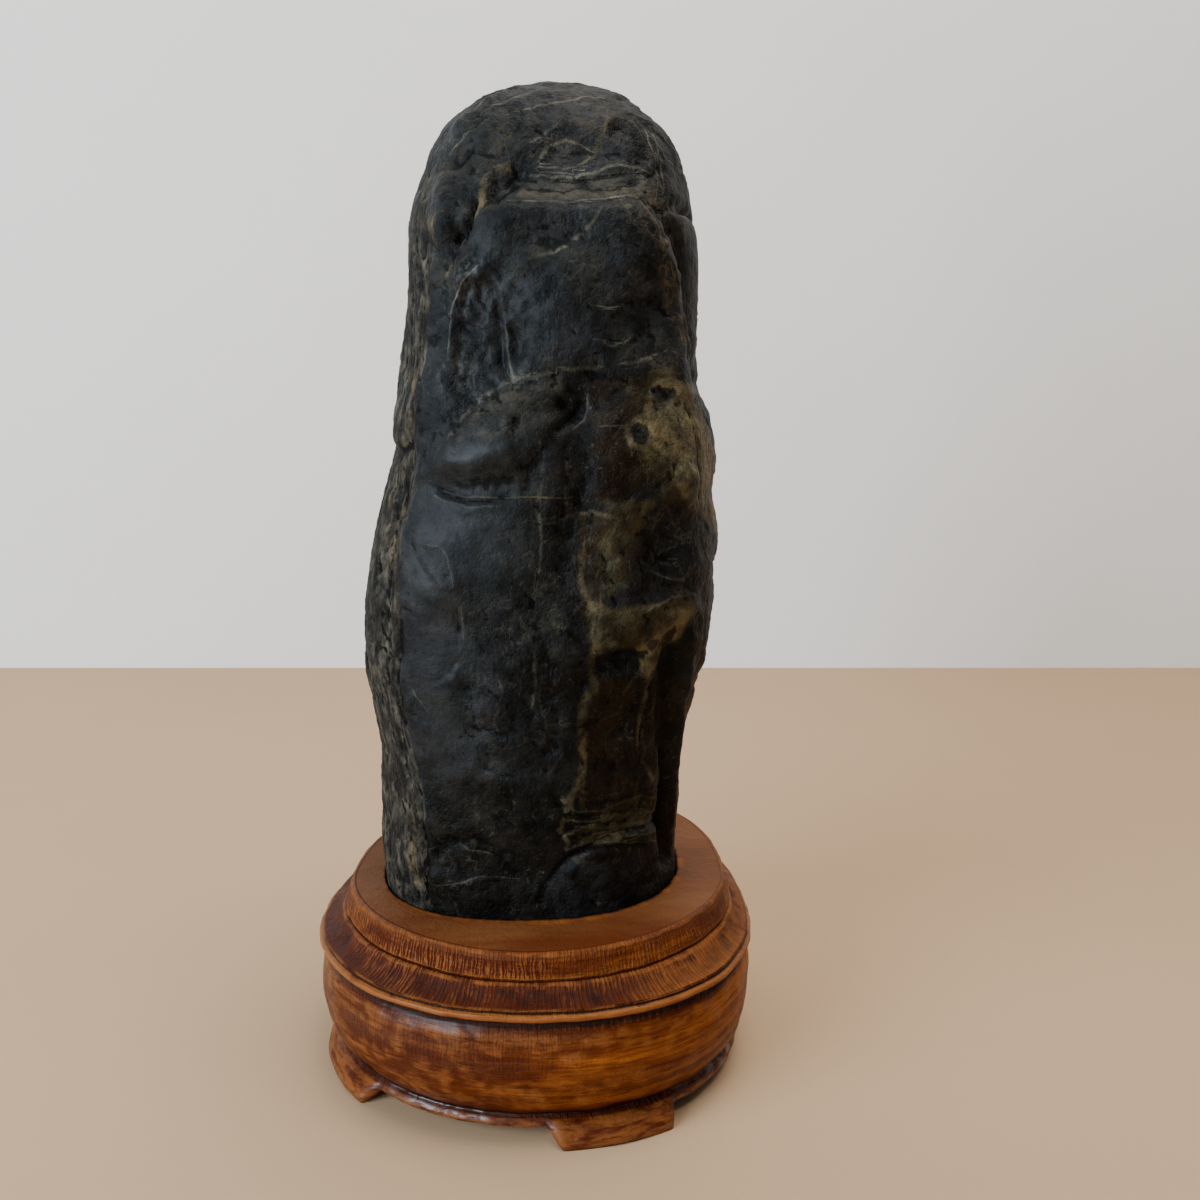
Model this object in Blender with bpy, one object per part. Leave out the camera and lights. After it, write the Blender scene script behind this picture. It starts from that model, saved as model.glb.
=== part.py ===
"""A dark viewing stone standing in a carved and lacquered wooden stand.

Two solids, in metres, +Z up, with the origin under the middle of the stand's feet:
  stone  a tall river stone, domed at the top, whose foot sits in the stand's recess
  stand  one carved block: flat top with a recess, moulded side, four splayed feet
Tables below are in millimetres and degrees, and MM turns them into metres.
Azimuth 0 is the front (-Y), 90 the right side (+X), 180 the back.
"""

import math

import bmesh
import bpy
import numpy as np
from mathutils import Vector, noise

MM = 0.001

# ---- driving dimensions ----
STAND_HEIGHT = 52.5
RIM_HALF_WIDTH = 55.9  # the stand's top face, from its centre line
RECESS_DEPTH = 10.3
FIT_GAP = 0.45  # between the stone's foot and the recess wall
REST_GAP = 0.3  # under the stone's foot
STONE_AROUND = 150  # columns and rings of the fine stone, before it is thinned
STONE_RINGS = 132
STONE_TRIANGLES = 5500
STAND_AROUND = 60
UNROLL_RADIUS = 45.0  # turns an azimuth on the stone into a distance along its surface

# ---- the stand's plan by height: left, right, front and back reach, and the superellipse exponents
# of its front left, front right, back left and back right. The body is fuller at the corners than
# the top rim ----
PLANS = [
    (0.0, 57.5, 57.0, 52.2, 68.6, 1.97, 2.20, 2.2, 2.5),
    (8.0, 57.5, 57.0, 52.2, 68.6, 1.97, 2.15, 2.2, 2.5),
    (20.0, 57.0, 55.2, 52.2, 69.0, 2.05, 2.30, 2.2, 2.5),
    (40.6, 57.0, 55.2, 52.2, 69.0, 2.05, 2.30, 2.2, 2.5),
    (45.0, 56.4, 56.1, 52.1, 69.4, 1.92, 1.98, 2.2, 2.4),
    (52.5, RIM_HALF_WIDTH, RIM_HALF_WIDTH, 52.0, 69.6, 1.88, 1.90, 2.2, 2.35),
]
PLAN_SHIFT = (0.9, -8.4)  # puts the middle of the widest moulding on the origin

# ---- the stand's moulding: millimetres outside its plan, and height ----
MOULDING = [
    (-1.4, 52.5),
    (-0.4, 52.2),
    (0.0, 51.4),
    (0.5, 48.5),
    (1.1, 45.6),
    (0.5, 45.0),
    (1.8, 44.6),
    (2.1, 43.8),
    (3.2, 42.2),
    (5.0, 40.9),
    (6.9, 40.4),
    (6.6, 39.7),
    (7.7, 39.4),
    (8.1, 38.6),
    (7.8, 37.8),
    (6.6, 37.3),
    (5.6, 36.6),
    (5.8, 35.2),
    (6.8, 33.2),
    (7.4, 29.5),
    (7.5, 24.5),
    (7.1, 19.5),
    (6.0, 15.2),
    (4.2, 11.4),
    (2.3, 8.8),
    (1.2, 7.4),
]
# the rest of the section, below the moulding: between the feet, and at a foot
LIP_BETWEEN = [(1.5, 6.5), (2.0, 5.2), (2.4, 4.3), (2.5, 4.2), (2.1, 4.0), (-9.5, 4.0), (-12.0, 5.0)]
LIP_FOOT = [(1.9, 6.6), (3.8, 5.3), (5.6, 3.4), (6.6, 1.2), (6.1, 0.0), (-10.5, 0.0), (-12.0, 5.0)]

# ---- feet: azimuth of the middle, half of the angle covered, flare beyond the foot's own ----
FEET = [(-69.0, 21.5, 0.2), (21.0, 16.0, 0.8), (114.0, 17.0, 0.8), (-160.0, 16.0, 0.0)]
FOOT_EDGE = 4.5  # degrees over which a foot rises to the lip

# ---- the stone's form: height above the stand, then left, right, front and back edge ----
STONE_FORM = [
    (-10.0, -2, -2, 6, 6),
    (-10.0, -30, 26, -18, 32),
    (-8.6, -43.4, 38.6, -29.6, 46),
    (-5.0, -45.2, 40.6, -31.5, 48.2),
    (0, -46.0, 41.4, -32.3, 49),
    (6, -46.1, 40.9, -33.0, 49.6),
    (14, -46.0, 40.4, -33.8, 50),
    (30, -46.2, 42.0, -35.5, 51.5),
    (50, -47.0, 45.8, -37.5, 52.5),
    (66, -48.4, 48.0, -38.8, 53),
    (79, -49.0, 48.9, -39.6, 53),
    (90, -48.0, 49.2, -40, 52.5),
    (101, -45.6, 48.8, -40, 52),
    (112, -43.0, 48.4, -39.5, 51),
    (124, -40.2, 48.2, -38.5, 49.5),
    (136, -39.0, 47.0, -37, 48),
    (148, -36.8, 44.9, -35.3, 46.5),
    (162, -34.8, 44.4, -33.6, 45),
    (177, -33.8, 44.6, -32.2, 44),
    (187, -32.8, 43.8, -31.0, 43),
    (192, -32.1, 43.0, -28.0, 42),
    (198, -30.8, 41.8, -23.5, 40.2),
    (205, -27.8, 39.4, -20.6, 37.2),
    (211, -23.4, 35.6, -16.3, 33),
    (217, -15.7, 29.4, -9.5, 27),
    (220.5, -8.6, 23.4, -3.5, 22),
    (223.3, 0.0, 16.5, 3, 16.5),
    (224.5, 7.5, 7.5, 9.5, 9.5),
]
CORNER_FRONT_LEFT = 2.5  # superellipse exponents of the stone's section
CORNER_FRONT_RIGHT = 2.25
CORNER_BACK = 2.3

# ---- plates: layers of the stone that stand proud. Raise, width of the soft edge, the heights
# between which the plate grows from nothing, and its outline (azimuth, height) ----
ALL_HEIGHTS = (-30.0, -20.0)
PLATES = {
    "upper front": (2.2, 6.0, ALL_HEIGHTS, [
        (-37, 150), (-32, 170), (-25, 181), (-10, 188), (10, 190), (25, 189), (38, 187), (48, 181),
        (57, 171), (66, 159), (70, 149), (55, 143), (30, 147), (14, 150), (0, 146), (-9, 145),
        (-17, 141), (-26, 136), (-37, 130)]),
    "left lobe": (2.6, 8.0, (60.0, 128.0), [
        (-40, 124), (-26, 134), (-17, 139), (-9, 143), (0, 143), (6, 136), (8, 126), (6, 110),
        (2, 90), (0, 40), (-34, 40), (-38, 66), (-42, 90), (-43, 108)]),
    "right lobe": (2.2, 14.0, ALL_HEIGHTS, [
        (15, 138), (30, 147), (50, 150), (66, 146), (88, 134), (104, 118), (112, 98), (98, 80),
        (78, 68), (56, 74), (34, 77), (18, 86), (13, 110)]),
    "foot facet": (1.6, 5.0, ALL_HEIGHTS, [
        (7, 3), (11, 13), (19, 19), (29, 22), (46, 23), (60, 20), (62, 3)]),
    "back slab": (3.0, 9.0, (0.0, 60.0), [
        (150, 20), (147, 70), (152, 120), (160, 158), (178, 172), (200, 164), (212, 130), (216, 84),
        (212, 40), (204, 16)]),
    "left back": (2.2, 8.0, ALL_HEIGHTS, [
        (-122, 18), (-126, 70), (-118, 118), (-104, 140), (-92, 128), (-90, 80), (-96, 30)]),
}

# ---- lumps, and hollows with a negative rise: azimuth, height, half width, half height, rise,
# and how far it leans, in degrees, its right end going up ----
LUMPS = [
    (-18, 158, 12, 19, -4.4, 0),  # the big pitted hollow
    (-24, 172, 8, 5, 1.4, 20),
    (1, 181, 9, 5, -2.2, 0),
    (33, 178, 12, 8, 1.2, 0),
    (32, 160, 12, 8, -1.6, 10),
    (-12, 130, 16, 6, 1.6, 14),  # the lump above the fold
    (-16, 120, 15, 3.6, -2.2, 10),
    (-24, 98, 8, 12, 1.2, 20),
    (9, 138, 7, 6, -1.8, 30),
    (46, 126, 13, 15, 1.6, 0),
    (40, 105, 11, 8, -2.4, 0),
    (36, 84, 16, 6, 1.8, 10),
    (26, 73, 10, 4.5, -2.2, 10),
    (30, 50, 13, 20, -2.6, 0),  # the sunk panel at the lower right
    (9, 203, 10, 4, -1.4, 0),
    (-44, 188, 8, 9, 0.6, 0),
    (-17, 19, 12, 7, -1.4, 0),
    (-60, 92, 10, 24, 0.8, 0),
    (-66, 150, 8, 16, -1.4, 0),
    (-58, 30, 9, 20, -1.2, 0),
    (88, 200, 14, 9, 1.2, 0),
    (95, 165, 16, 18, 1.2, 0),
    (92, 52, 13, 22, -1.4, 0),
    (84, 16, 12, 12, 1.2, 0),
    (130, 148, 15, 14, -3.2, 20),
    (124, 96, 14, 16, 2.0, 0),
    (126, 40, 12, 20, -2.6, -10),
    (170, 104, 16, 12, -2.8, 15),
    (192, 138, 12, 14, 2.0, 0),
    (186, 56, 14, 18, 1.8, 0),
    (-140, 176, 16, 12, -2.4, 25),
    (-112, 168, 14, 12, 1.4, 0),
    (-142, 112, 10, 20, -3.0, 0),
    (-108, 60, 12, 18, -1.8, 15),
    (160, 190, 18, 8, -1.8, 0),
]

# ---- grooves, and ridges with a negative depth: depth, half width, route (azimuth, height) ----
GROOVES = {
    "left ridge": (-1.2, 5.0, [(-41, 207), (-38, 192), (-40, 176), (-43, 164), (-41, 135), (-41, 110),
                               (-40, 89), (-37, 66), (-35, 42), (-32, 19), (-31, 8)]),
    "upper crack": (2.8, 2.6, [(-6, 198), (-15, 199), (-22, 195), (-23, 189), (-26, 183), (-31, 179)]),
    "ledge foot": (1.2, 3.0, [(-8, 193), (8, 194), (24, 194), (38, 192)]),
    "right layer": (1.8, 4.0, [(44, 188), (56, 179), (67, 165), (75, 152), (80, 146)]),
    "right notch": (1.4, 1.8, [(54, 190), (74, 189.5), (86, 187), (97, 180), (104, 170)]),
    "left notch": (1.6, 2.2, [(-48, 129), (-62, 126), (-80, 126), (-100, 131)]),
    "valley": (0.8, 6.0, [(11, 147), (9, 136), (8, 124), (9, 112)]),
    "right gutter": (3.2, 4.5, [(47, 78), (50, 62), (54, 48), (62, 28), (66, 4)]),
    "gutter edge": (-1.6, 3.0, [(58, 76), (62, 56), (70, 30), (74, 8)]),
    "lower left edge": (1.4, 2.4, [(-31, 14), (-24, 21), (-13, 24), (-4, 20)]),
    "back seam": (2.6, 4.5, [(139, 12), (136, 60), (141, 112), (148, 152), (166, 180)]),
    "back cross": (2.0, 3.0, [(150, 122), (172, 128), (196, 122), (214, 112)]),
    "left seam": (2.2, 4.0, [(-128, 190), (-134, 150), (-128, 100), (-132, 50), (-126, 6)]),
}
WAVES = [(26.0, 1.7), (12.0, 0.7)]  # the all-over unevenness: size and height of its swells
CALM_BELOW = (2.5, 14.0)  # all relief fades to nothing between these heights, at the stand


def smooth_step(low, high, values):
    t = np.clip((values - low) / (high - low), 0.0, 1.0)
    return t * t * (3.0 - 2.0 * t)


def wrapped(degrees):
    return (degrees + 180.0) % 360.0 - 180.0


def spline(knots, points, where):
    """Smooth curve through the rows of points, read at the given knot values."""
    step = np.diff(knots)[:, None]
    slope = np.diff(points, axis=0) / step
    tangent = np.vstack([slope[:1], points[1:-1], slope[-1:]])
    tangent[1:-1] = (slope[:-1] * step[1:] + slope[1:] * step[:-1]) / (step[1:] + step[:-1])
    i = np.clip(np.searchsorted(knots, where, side="right") - 1, 0, len(knots) - 2)
    h = step[i]
    t = (where - knots[i])[:, None] / h
    return (
        (2 * t**3 - 3 * t**2 + 1) * points[i]
        + (t**3 - 2 * t**2 + t) * h * tangent[i]
        + (3 * t**2 - 2 * t**3) * points[i + 1]
        + (t**3 - t**2) * h * tangent[i + 1]
    )


def superellipse(angle, half_x, half_y, exponent):
    c, s = np.cos(angle), np.sin(angle)
    x = half_x * np.sign(c) * np.abs(c) ** (2 / exponent)
    y = half_y * np.sign(s) * np.abs(s) ** (2 / exponent)
    return x, y


def stone_knots():
    form = np.array(STONE_FORM, float)
    half = (form[:, 2] - form[:, 1]) / 2
    return np.concatenate([[0.0], np.cumsum(np.hypot(np.diff(form[:, 0]), np.diff(half)))])


def stone_base(azimuth, along):
    """The smooth form: points at an azimuth and a distance along the outline from the foot's centre."""
    form = spline(stone_knots(), np.array(STONE_FORM, float), along)
    height, left, right, front, back = form.T
    angle = np.radians(azimuth - 90.0)
    corner = np.where(np.cos(angle) < 0, CORNER_FRONT_LEFT, CORNER_FRONT_RIGHT)
    corner = np.where(np.sin(angle) < 0, corner, CORNER_BACK)
    x, y = superellipse(angle, (right - left) / 2, (back - front) / 2, corner)
    height = np.maximum(height, REST_GAP - RECESS_DEPTH)
    return np.stack([x + (left + right) / 2, y + (front + back) / 2, height], axis=-1)


def stone_normals(azimuth, along):
    """Outward normals of the smooth form, from the slopes along its two directions."""
    turn, climb = 0.5, 0.4
    last = stone_knots()[-1]
    across = stone_base(azimuth + turn, along) - stone_base(azimuth - turn, along)
    upward = stone_base(azimuth, np.minimum(along + climb, last)) - stone_base(
        azimuth, np.maximum(along - climb, 0.0)
    )
    normal = np.cross(across, upward)
    length = np.linalg.norm(normal, axis=1, keepdims=True)
    pole = np.array([0.0, 0.0, 1.0]) * np.where(along > last / 2, 1.0, -1.0)[:, None]
    return np.where(length > 1e-6, normal / np.maximum(length, 1e-6), pole)


def unrolled(azimuth, height, middle):
    """Flat coordinates in millimetres around one azimuth, so that no feature is cut at the back."""
    return np.stack([wrapped(azimuth - middle) * math.pi / 180 * UNROLL_RADIUS, height], axis=-1)


def route_points(route, middle):
    route = np.array(route, float)
    return unrolled(route[:, 0], route[:, 1], middle)


def distance_to_route(points, route, closed=False):
    ends = np.roll(route, -1, axis=0) if closed else route[1:]
    starts = route if closed else route[:-1]
    nearest = np.full(len(points), np.inf)
    for start, end in zip(starts, ends):
        run = end - start
        share = np.clip((points - start) @ run / (run @ run), 0.0, 1.0)
        gap = points - start - share[:, None] * run
        nearest = np.minimum(nearest, np.hypot(gap[:, 0], gap[:, 1]))
    return nearest


def inside_outline(points, outline):
    x, y = points.T
    inside = np.zeros(len(points), bool)
    for (x0, y0), (x1, y1) in zip(outline, np.roll(outline, -1, axis=0)):
        crosses = (y0 > y) != (y1 > y)
        at = x0 + (y - y0) * (x1 - x0) / (y1 - y0 if y1 != y0 else 1.0)
        inside ^= crosses & (x < at)
    return inside


def stone_relief(azimuth, height, points):
    """How far each point moves outwards, in millimetres, for the stone's own features."""
    relief = np.zeros(len(azimuth))
    for raise_by, soft, grows_over, outline in PLATES.values():
        middle = float(np.mean([a for a, _ in outline]))
        flat = unrolled(azimuth, height, middle)
        edge = route_points(outline, middle)
        depth_in = distance_to_route(flat, edge, closed=True)
        depth_in = np.where(inside_outline(flat, edge), depth_in, -depth_in)
        full = smooth_step(*grows_over, height)
        relief += raise_by * full * smooth_step(-soft / 2, soft / 2, depth_in)
    for middle, level, half_width, half_height, rise, lean in LUMPS:
        across, up = unrolled(azimuth, height - level, middle).T
        c, s = math.cos(math.radians(lean)), math.sin(math.radians(lean))
        along, over = (across * c + up * s) / half_width, (up * c - across * s) / half_height
        relief += rise * np.exp(-((along**2 + over**2) ** 1.5))
    for depth, half_width, route in GROOVES.values():
        middle = float(np.mean([a for a, _ in route]))
        gap = distance_to_route(unrolled(azimuth, height, middle), route_points(route, middle))
        relief -= depth * np.exp(-((gap / half_width) ** 2))
    for size, swell in WAVES:
        relief += swell * np.array([noise.noise(Vector(p) / size) for p in points])
    return relief * smooth_step(*CALM_BELOW, height)


def material(name, colour, roughness):
    made = bpy.data.materials.new(name)
    made.use_nodes = True
    shader = made.node_tree.nodes["Principled BSDF"]
    shader.inputs["Base Color"].default_value = (*colour, 1.0)
    shader.inputs["Roughness"].default_value = roughness
    shader.inputs["Metallic"].default_value = 0.0
    made.diffuse_color = (*colour, 1.0)
    return made


def add_object(name, mesh_builder, collection, finish=None):
    mesh = bpy.data.meshes.new(name)
    mesh_builder.to_mesh(mesh)
    mesh_builder.free()
    if finish:
        mesh.materials.append(finish)
    made = bpy.data.objects.new(name, mesh)
    collection.objects.link(made)
    return made


def to_scene(points):
    """Millimetres from the plan centre and the stand's top, to metres from the origin."""
    return (points + np.array([*PLAN_SHIFT, STAND_HEIGHT])) * MM


def build_stone(collection):
    """A sphere's grid drawn over the stone's form and relief, then thinned where it is plain."""
    bm = bmesh.new()
    bmesh.ops.create_uvsphere(bm, u_segments=STONE_AROUND, v_segments=STONE_RINGS, radius=1.0)
    sphere = np.array([v.co for v in bm.verts])
    azimuth = np.degrees(np.arctan2(sphere[:, 1], sphere[:, 0])) + 90.0
    along = (np.arcsin(np.clip(sphere[:, 2], -1.0, 1.0)) / math.pi + 0.5) * stone_knots()[-1]
    points = stone_base(azimuth, along)
    relief = stone_relief(azimuth, points[:, 2], points)
    points = to_scene(points + stone_normals(azimuth, along) * relief[:, None])
    for vertex, point in zip(bm.verts, points):
        vertex.co = point
    bmesh.ops.recalc_face_normals(bm, faces=bm.faces)
    bmesh.ops.triangulate(bm, faces=bm.faces)
    triangles = len(bm.faces)
    stone = add_object("stone", bm, collection, material("dark stone", (0.030, 0.032, 0.035), 0.45))
    stone.data.shade_smooth()
    thin = stone.modifiers.new("thin plain places", "DECIMATE")
    thin.ratio = STONE_TRIANGLES / triangles
    return stone


def plan_outline(angle, height):
    """Point on the stand's plan at each angle and height, and its outward direction."""
    heights, *columns = np.array(PLANS).T
    columns = [np.interp(height, heights, column) for column in columns]
    left, right, front, back, front_left, front_right, back_left, back_right = columns

    def at(a):
        reach_x = np.where(np.cos(a) < 0, left, right)
        reach_y = np.where(np.sin(a) < 0, front, back)
        at_left = np.where(np.sin(a) < 0, front_left, back_left)
        at_right = np.where(np.sin(a) < 0, front_right, back_right)
        roundness = np.where(np.cos(a) < 0, at_left, at_right)
        return np.stack(superellipse(a, reach_x, reach_y, roundness), axis=-1)

    small = 0.02
    along = at(angle + small) - at(angle - small)
    outward = np.stack([along[:, 1], -along[:, 0]], axis=-1)
    return at(angle), outward / np.linalg.norm(outward, axis=1, keepdims=True)


def foot_share(azimuth):
    """1 on a foot and 0 between the feet, and how much further out that foot goes."""
    share = np.zeros(len(azimuth))
    flare = np.zeros(len(azimuth))
    for middle, half_angle, more in FEET:
        away = np.abs(wrapped(azimuth - middle))
        here = 1.0 - smooth_step(half_angle - FOOT_EDGE / 2, half_angle + FOOT_EDGE / 2, away)
        share += here
        flare += here * more
    return share, flare


def build_stand_body(collection):
    """The section is spun round, and each of its points is then set out from the stand's own plan."""
    between = np.array([(-RIM_HALF_WIDTH, STAND_HEIGHT)] + MOULDING + LIP_BETWEEN
                       + [(-RIM_HALF_WIDTH, LIP_BETWEEN[-1][1])])
    at_foot = np.array([(-RIM_HALF_WIDTH, STAND_HEIGHT)] + MOULDING + LIP_FOOT
                       + [(-RIM_HALF_WIDTH, LIP_FOOT[-1][1])])
    bm = bmesh.new()
    row = bm.verts.layers.int.new("row")
    chain = []
    for i, (offset, height) in enumerate(at_foot):
        vertex = bm.verts.new((RIM_HALF_WIDTH + offset, 0.0, height))
        vertex[row] = i
        chain.append(vertex)
    edges = [bm.edges.new(pair) for pair in zip(chain, chain[1:])]
    bmesh.ops.spin(bm, geom=chain + edges, angle=math.tau, steps=STAND_AROUND,
                   axis=(0.0, 0.0, 1.0), cent=(0.0, 0.0, 0.0), use_merge=True)
    bmesh.ops.remove_doubles(bm, verts=bm.verts, dist=0.001)
    rows = np.array([v[row] for v in bm.verts])
    angle = np.array([math.atan2(v.co.y, v.co.x) for v in bm.verts])
    share, flare = foot_share(np.degrees(angle) + 90.0)
    section = between[rows] * (1 - share[:, None]) + at_foot[rows] * share[:, None]
    offset = section[:, 0] + flare * (section[:, 0] > 0) * (rows > len(MOULDING) + 1)
    outline, outward = plan_outline(angle, section[:, 1])
    inward = np.clip(1.0 + offset / RIM_HALF_WIDTH, 0.0, 1.0)
    plan = outline * inward[:, None] + outward * np.maximum(offset, 0.0)[:, None]
    points = to_scene(np.column_stack([plan, section[:, 1] - STAND_HEIGHT]))
    for vertex, point in zip(bm.verts, points):
        vertex.co = point
    bmesh.ops.recalc_face_normals(bm, faces=bm.faces)
    stand = add_object("stand", bm, collection, material("lacquered wood", (0.27, 0.090, 0.026), 0.3))
    stand.data.shade_smooth()
    stand.data.set_sharp_from_angle(angle=math.radians(50))
    return stand


def build_recess_cutter(collection):
    """A straight-sided plug of the stone's outline where it enters the stand, a little larger."""
    form = np.array(STONE_FORM, float)
    at_top = float(stone_knots()[int(np.flatnonzero(form[:, 0] == 0)[0])])
    bm = bmesh.new()
    bmesh.ops.create_circle(bm, cap_ends=True, radius=1.0, segments=STAND_AROUND)
    azimuth = np.array([math.degrees(math.atan2(v.co.y, v.co.x)) + 90.0 for v in bm.verts])
    along = np.full(len(azimuth), at_top)
    outward = stone_normals(azimuth, along) * [1.0, 1.0, 0.0]
    outline = stone_base(azimuth, along) + outward * FIT_GAP
    outline[:, 2] = -RECESS_DEPTH
    for vertex, point in zip(bm.verts, to_scene(outline)):
        vertex.co = point
    grown = bmesh.ops.extrude_face_region(bm, geom=bm.faces[:])
    top = [e for e in grown["geom"] if isinstance(e, bmesh.types.BMVert)]
    bmesh.ops.translate(bm, verts=top, vec=(0.0, 0.0, (RECESS_DEPTH + 5.0) * MM))
    bmesh.ops.recalc_face_normals(bm, faces=bm.faces)
    cutter = add_object("recess cutter", bm, collection)
    cutter.hide_render = True
    cutter.display_type = "WIRE"
    return cutter


def main():
    for old in list(bpy.data.objects):
        bpy.data.objects.remove(old, do_unlink=True)
    root = bpy.context.scene.collection
    parts = bpy.data.collections.new("scholars rock")
    cutters = bpy.data.collections.new("cutters")
    root.children.link(parts)
    root.children.link(cutters)
    build_stone(parts)
    stand = build_stand_body(parts)
    recess = stand.modifiers.new("recess", "BOOLEAN")
    recess.operation = "DIFFERENCE"
    recess.object = build_recess_cutter(cutters)


main()
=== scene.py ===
import math

import bmesh
import bpy
import numpy as np
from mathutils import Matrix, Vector, noise


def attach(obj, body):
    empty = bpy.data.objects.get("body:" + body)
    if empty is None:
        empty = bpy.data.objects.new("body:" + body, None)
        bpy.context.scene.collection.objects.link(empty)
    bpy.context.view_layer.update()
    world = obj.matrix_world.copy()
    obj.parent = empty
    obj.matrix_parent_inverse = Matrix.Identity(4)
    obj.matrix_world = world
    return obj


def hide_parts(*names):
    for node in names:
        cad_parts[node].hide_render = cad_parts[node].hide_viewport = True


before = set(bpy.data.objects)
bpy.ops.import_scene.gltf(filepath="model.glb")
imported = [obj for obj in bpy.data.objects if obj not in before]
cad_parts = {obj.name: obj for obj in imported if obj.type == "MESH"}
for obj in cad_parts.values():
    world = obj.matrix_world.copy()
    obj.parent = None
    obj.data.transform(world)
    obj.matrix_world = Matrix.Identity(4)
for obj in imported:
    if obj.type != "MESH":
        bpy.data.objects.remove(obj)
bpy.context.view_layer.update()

mm = 0.001
standHeight = 52.5  # everything below is in millimetres from the stand's plan centre and its top face
planShift = np.array([0.9, -8.4, standHeight])
unrollRadius = 45.0  # turns degrees round the stone into millimetres along its face


def smoothStep(low, high, values):
    t = np.clip((values - low) / (high - low), 0.0, 1.0)
    return t * t * (3.0 - 2.0 * t)


def wrapped(degrees):
    return (degrees + 180.0) % 360.0 - 180.0


def spline(knots, points, where):
    step = np.diff(knots)[:, None]
    slope = np.diff(points, axis=0) / step
    tangent = np.vstack([slope[:1], points[1:-1], slope[-1:]])
    tangent[1:-1] = (slope[:-1] * step[1:] + slope[1:] * step[:-1]) / (step[1:] + step[:-1])
    i = np.clip(np.searchsorted(knots, where, side="right") - 1, 0, len(knots) - 2)
    h = step[i]
    t = (where - knots[i])[:, None] / h
    return ((2 * t**3 - 3 * t**2 + 1) * points[i] + (t**3 - 2 * t**2 + t) * h * tangent[i]
            + (3 * t**2 - 2 * t**3) * points[i + 1] + (t**3 - t**2) * h * tangent[i + 1])


def superellipse(angle, halfX, halfY, exponent):
    c, s = np.cos(angle), np.sin(angle)
    return (halfX * np.sign(c) * np.abs(c) ** (2 / exponent),
            halfY * np.sign(s) * np.abs(s) ** (2 / exponent))


def unrolled(azimuth, height, middle):
    return np.stack([wrapped(azimuth - middle) * math.pi / 180 * unrollRadius, height], axis=-1)


def signedGap(azimuth, height, route, closed=False):
    # distance in millimetres from every point to a line drawn on the stone, negative on its right
    middle = float(np.mean([a for a, _ in route]))
    flat = unrolled(azimuth, height, middle)
    line = unrolled(*np.array(route, float).T, middle)
    starts = line if closed else line[:-1]
    ends = np.roll(line, -1, axis=0) if closed else line[1:]
    nearest = np.full(len(flat), np.inf)
    for start, end in zip(starts, ends):
        run = end - start
        share = np.clip((flat - start) @ run / (run @ run), 0.0, 1.0)
        gap = flat - start - share[:, None] * run
        side = np.where(run[0] * gap[:, 1] - run[1] * gap[:, 0] < 0, -1.0, 1.0)
        reach = np.hypot(gap[:, 0], gap[:, 1])
        nearest = np.where(reach < np.abs(nearest), side * reach, nearest)
    return nearest


def routeGap(azimuth, height, route, closed=False):
    return np.abs(signedGap(azimuth, height, route, closed))


def depthInside(azimuth, height, outline):
    # millimetres inside a closed outline, negative outside it
    middle = float(np.mean([a for a, _ in outline]))
    x, y = unrolled(azimuth, height, middle).T
    line = unrolled(*np.array(outline, float).T, middle)
    inside = np.zeros(len(x), bool)
    for (x0, y0), (x1, y1) in zip(line, np.roll(line, -1, axis=0)):
        crosses = (y0 > y) != (y1 > y)
        crossing = x0 + (y - y0) * (x1 - x0) / (y1 - y0 if y1 != y0 else 1.0)
        inside ^= crosses & (x < crossing)
    return np.where(inside, 1.0, -1.0) * routeGap(azimuth, height, outline, closed=True)


def noiseAt(points, size, stretch=(1.0, 1.0, 1.0), octaves=1):
    scaled = points / (size * np.array(stretch))
    if octaves == 1:
        return np.array([noise.noise(Vector(p)) for p in scaled])
    return np.array([noise.fractal(Vector(p), 0.8, 2.0, octaves) for p in scaled])


cells = {
    "pitSharpness": 2.2,
    "chipSlope": 2.6,
    "chipBevel": 0.16,  # width of the border between two chips, as a share of their size
    "chipShuffle": 7.31,  # picks another random tilt for every cell
    "tiltMiddle": Vector((0.5, 0.5, 0.5)),
}


def pitsAt(points, size):
    # 1 in the middle of each round pit, 0 between them
    depths = [cells["pitSharpness"] * noise.voronoi(Vector(p))[0][0] for p in points / size]
    return np.array([1.0 - min(1.0, depth) for depth in depths])


def chipsAt(points, size):
    # small tilted facets with crisp borders, each between about -1 and 1
    values = []
    for p in points / size:
        place = Vector(p)
        (first, second, *_), (nearest, following, *_) = noise.voronoi(place)
        heights = []
        for middle in (nearest, following):
            tilt = noise.cell_vector(middle * cells["chipShuffle"]) - cells["tiltMiddle"]
            heights.append(cells["chipSlope"] * tilt.dot(place - middle))
        share = min(1.0, (second - first) / cells["chipBevel"])
        values.append(heights[0] * (0.5 + 0.5 * share) + heights[1] * (0.5 - 0.5 * share))
    return np.clip(values, -1.0, 1.0)


def toScene(points):
    return (points + planShift) * mm


def moveVertices(bm, points):
    for vertex, point in zip(bm.verts, points):
        vertex.co = point


def crestOf(bm, passes, span):
    # how far each vertex stands proud of its surroundings: 1 on a crest, -1 in a groove; span is
    # the height in millimetres that counts as 1
    bm.normal_update()
    points = np.array([v.co for v in bm.verts])
    normals = np.array([v.normal for v in bm.verts])
    ends = np.array([(e.verts[0].index, e.verts[1].index) for e in bm.edges])
    count = np.bincount(ends.ravel(), minlength=len(points))[:, None]
    around = points.copy()
    for _ in range(passes):
        total = np.zeros_like(around)
        np.add.at(total, ends[:, 0], around[ends[:, 1]])
        np.add.at(total, ends[:, 1], around[ends[:, 0]])
        around = (around + total) / (count + 1)
    proud = ((points - around) * normals).sum(axis=1)
    return np.clip(proud / (span * mm), -1.0, 1.0)


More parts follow.
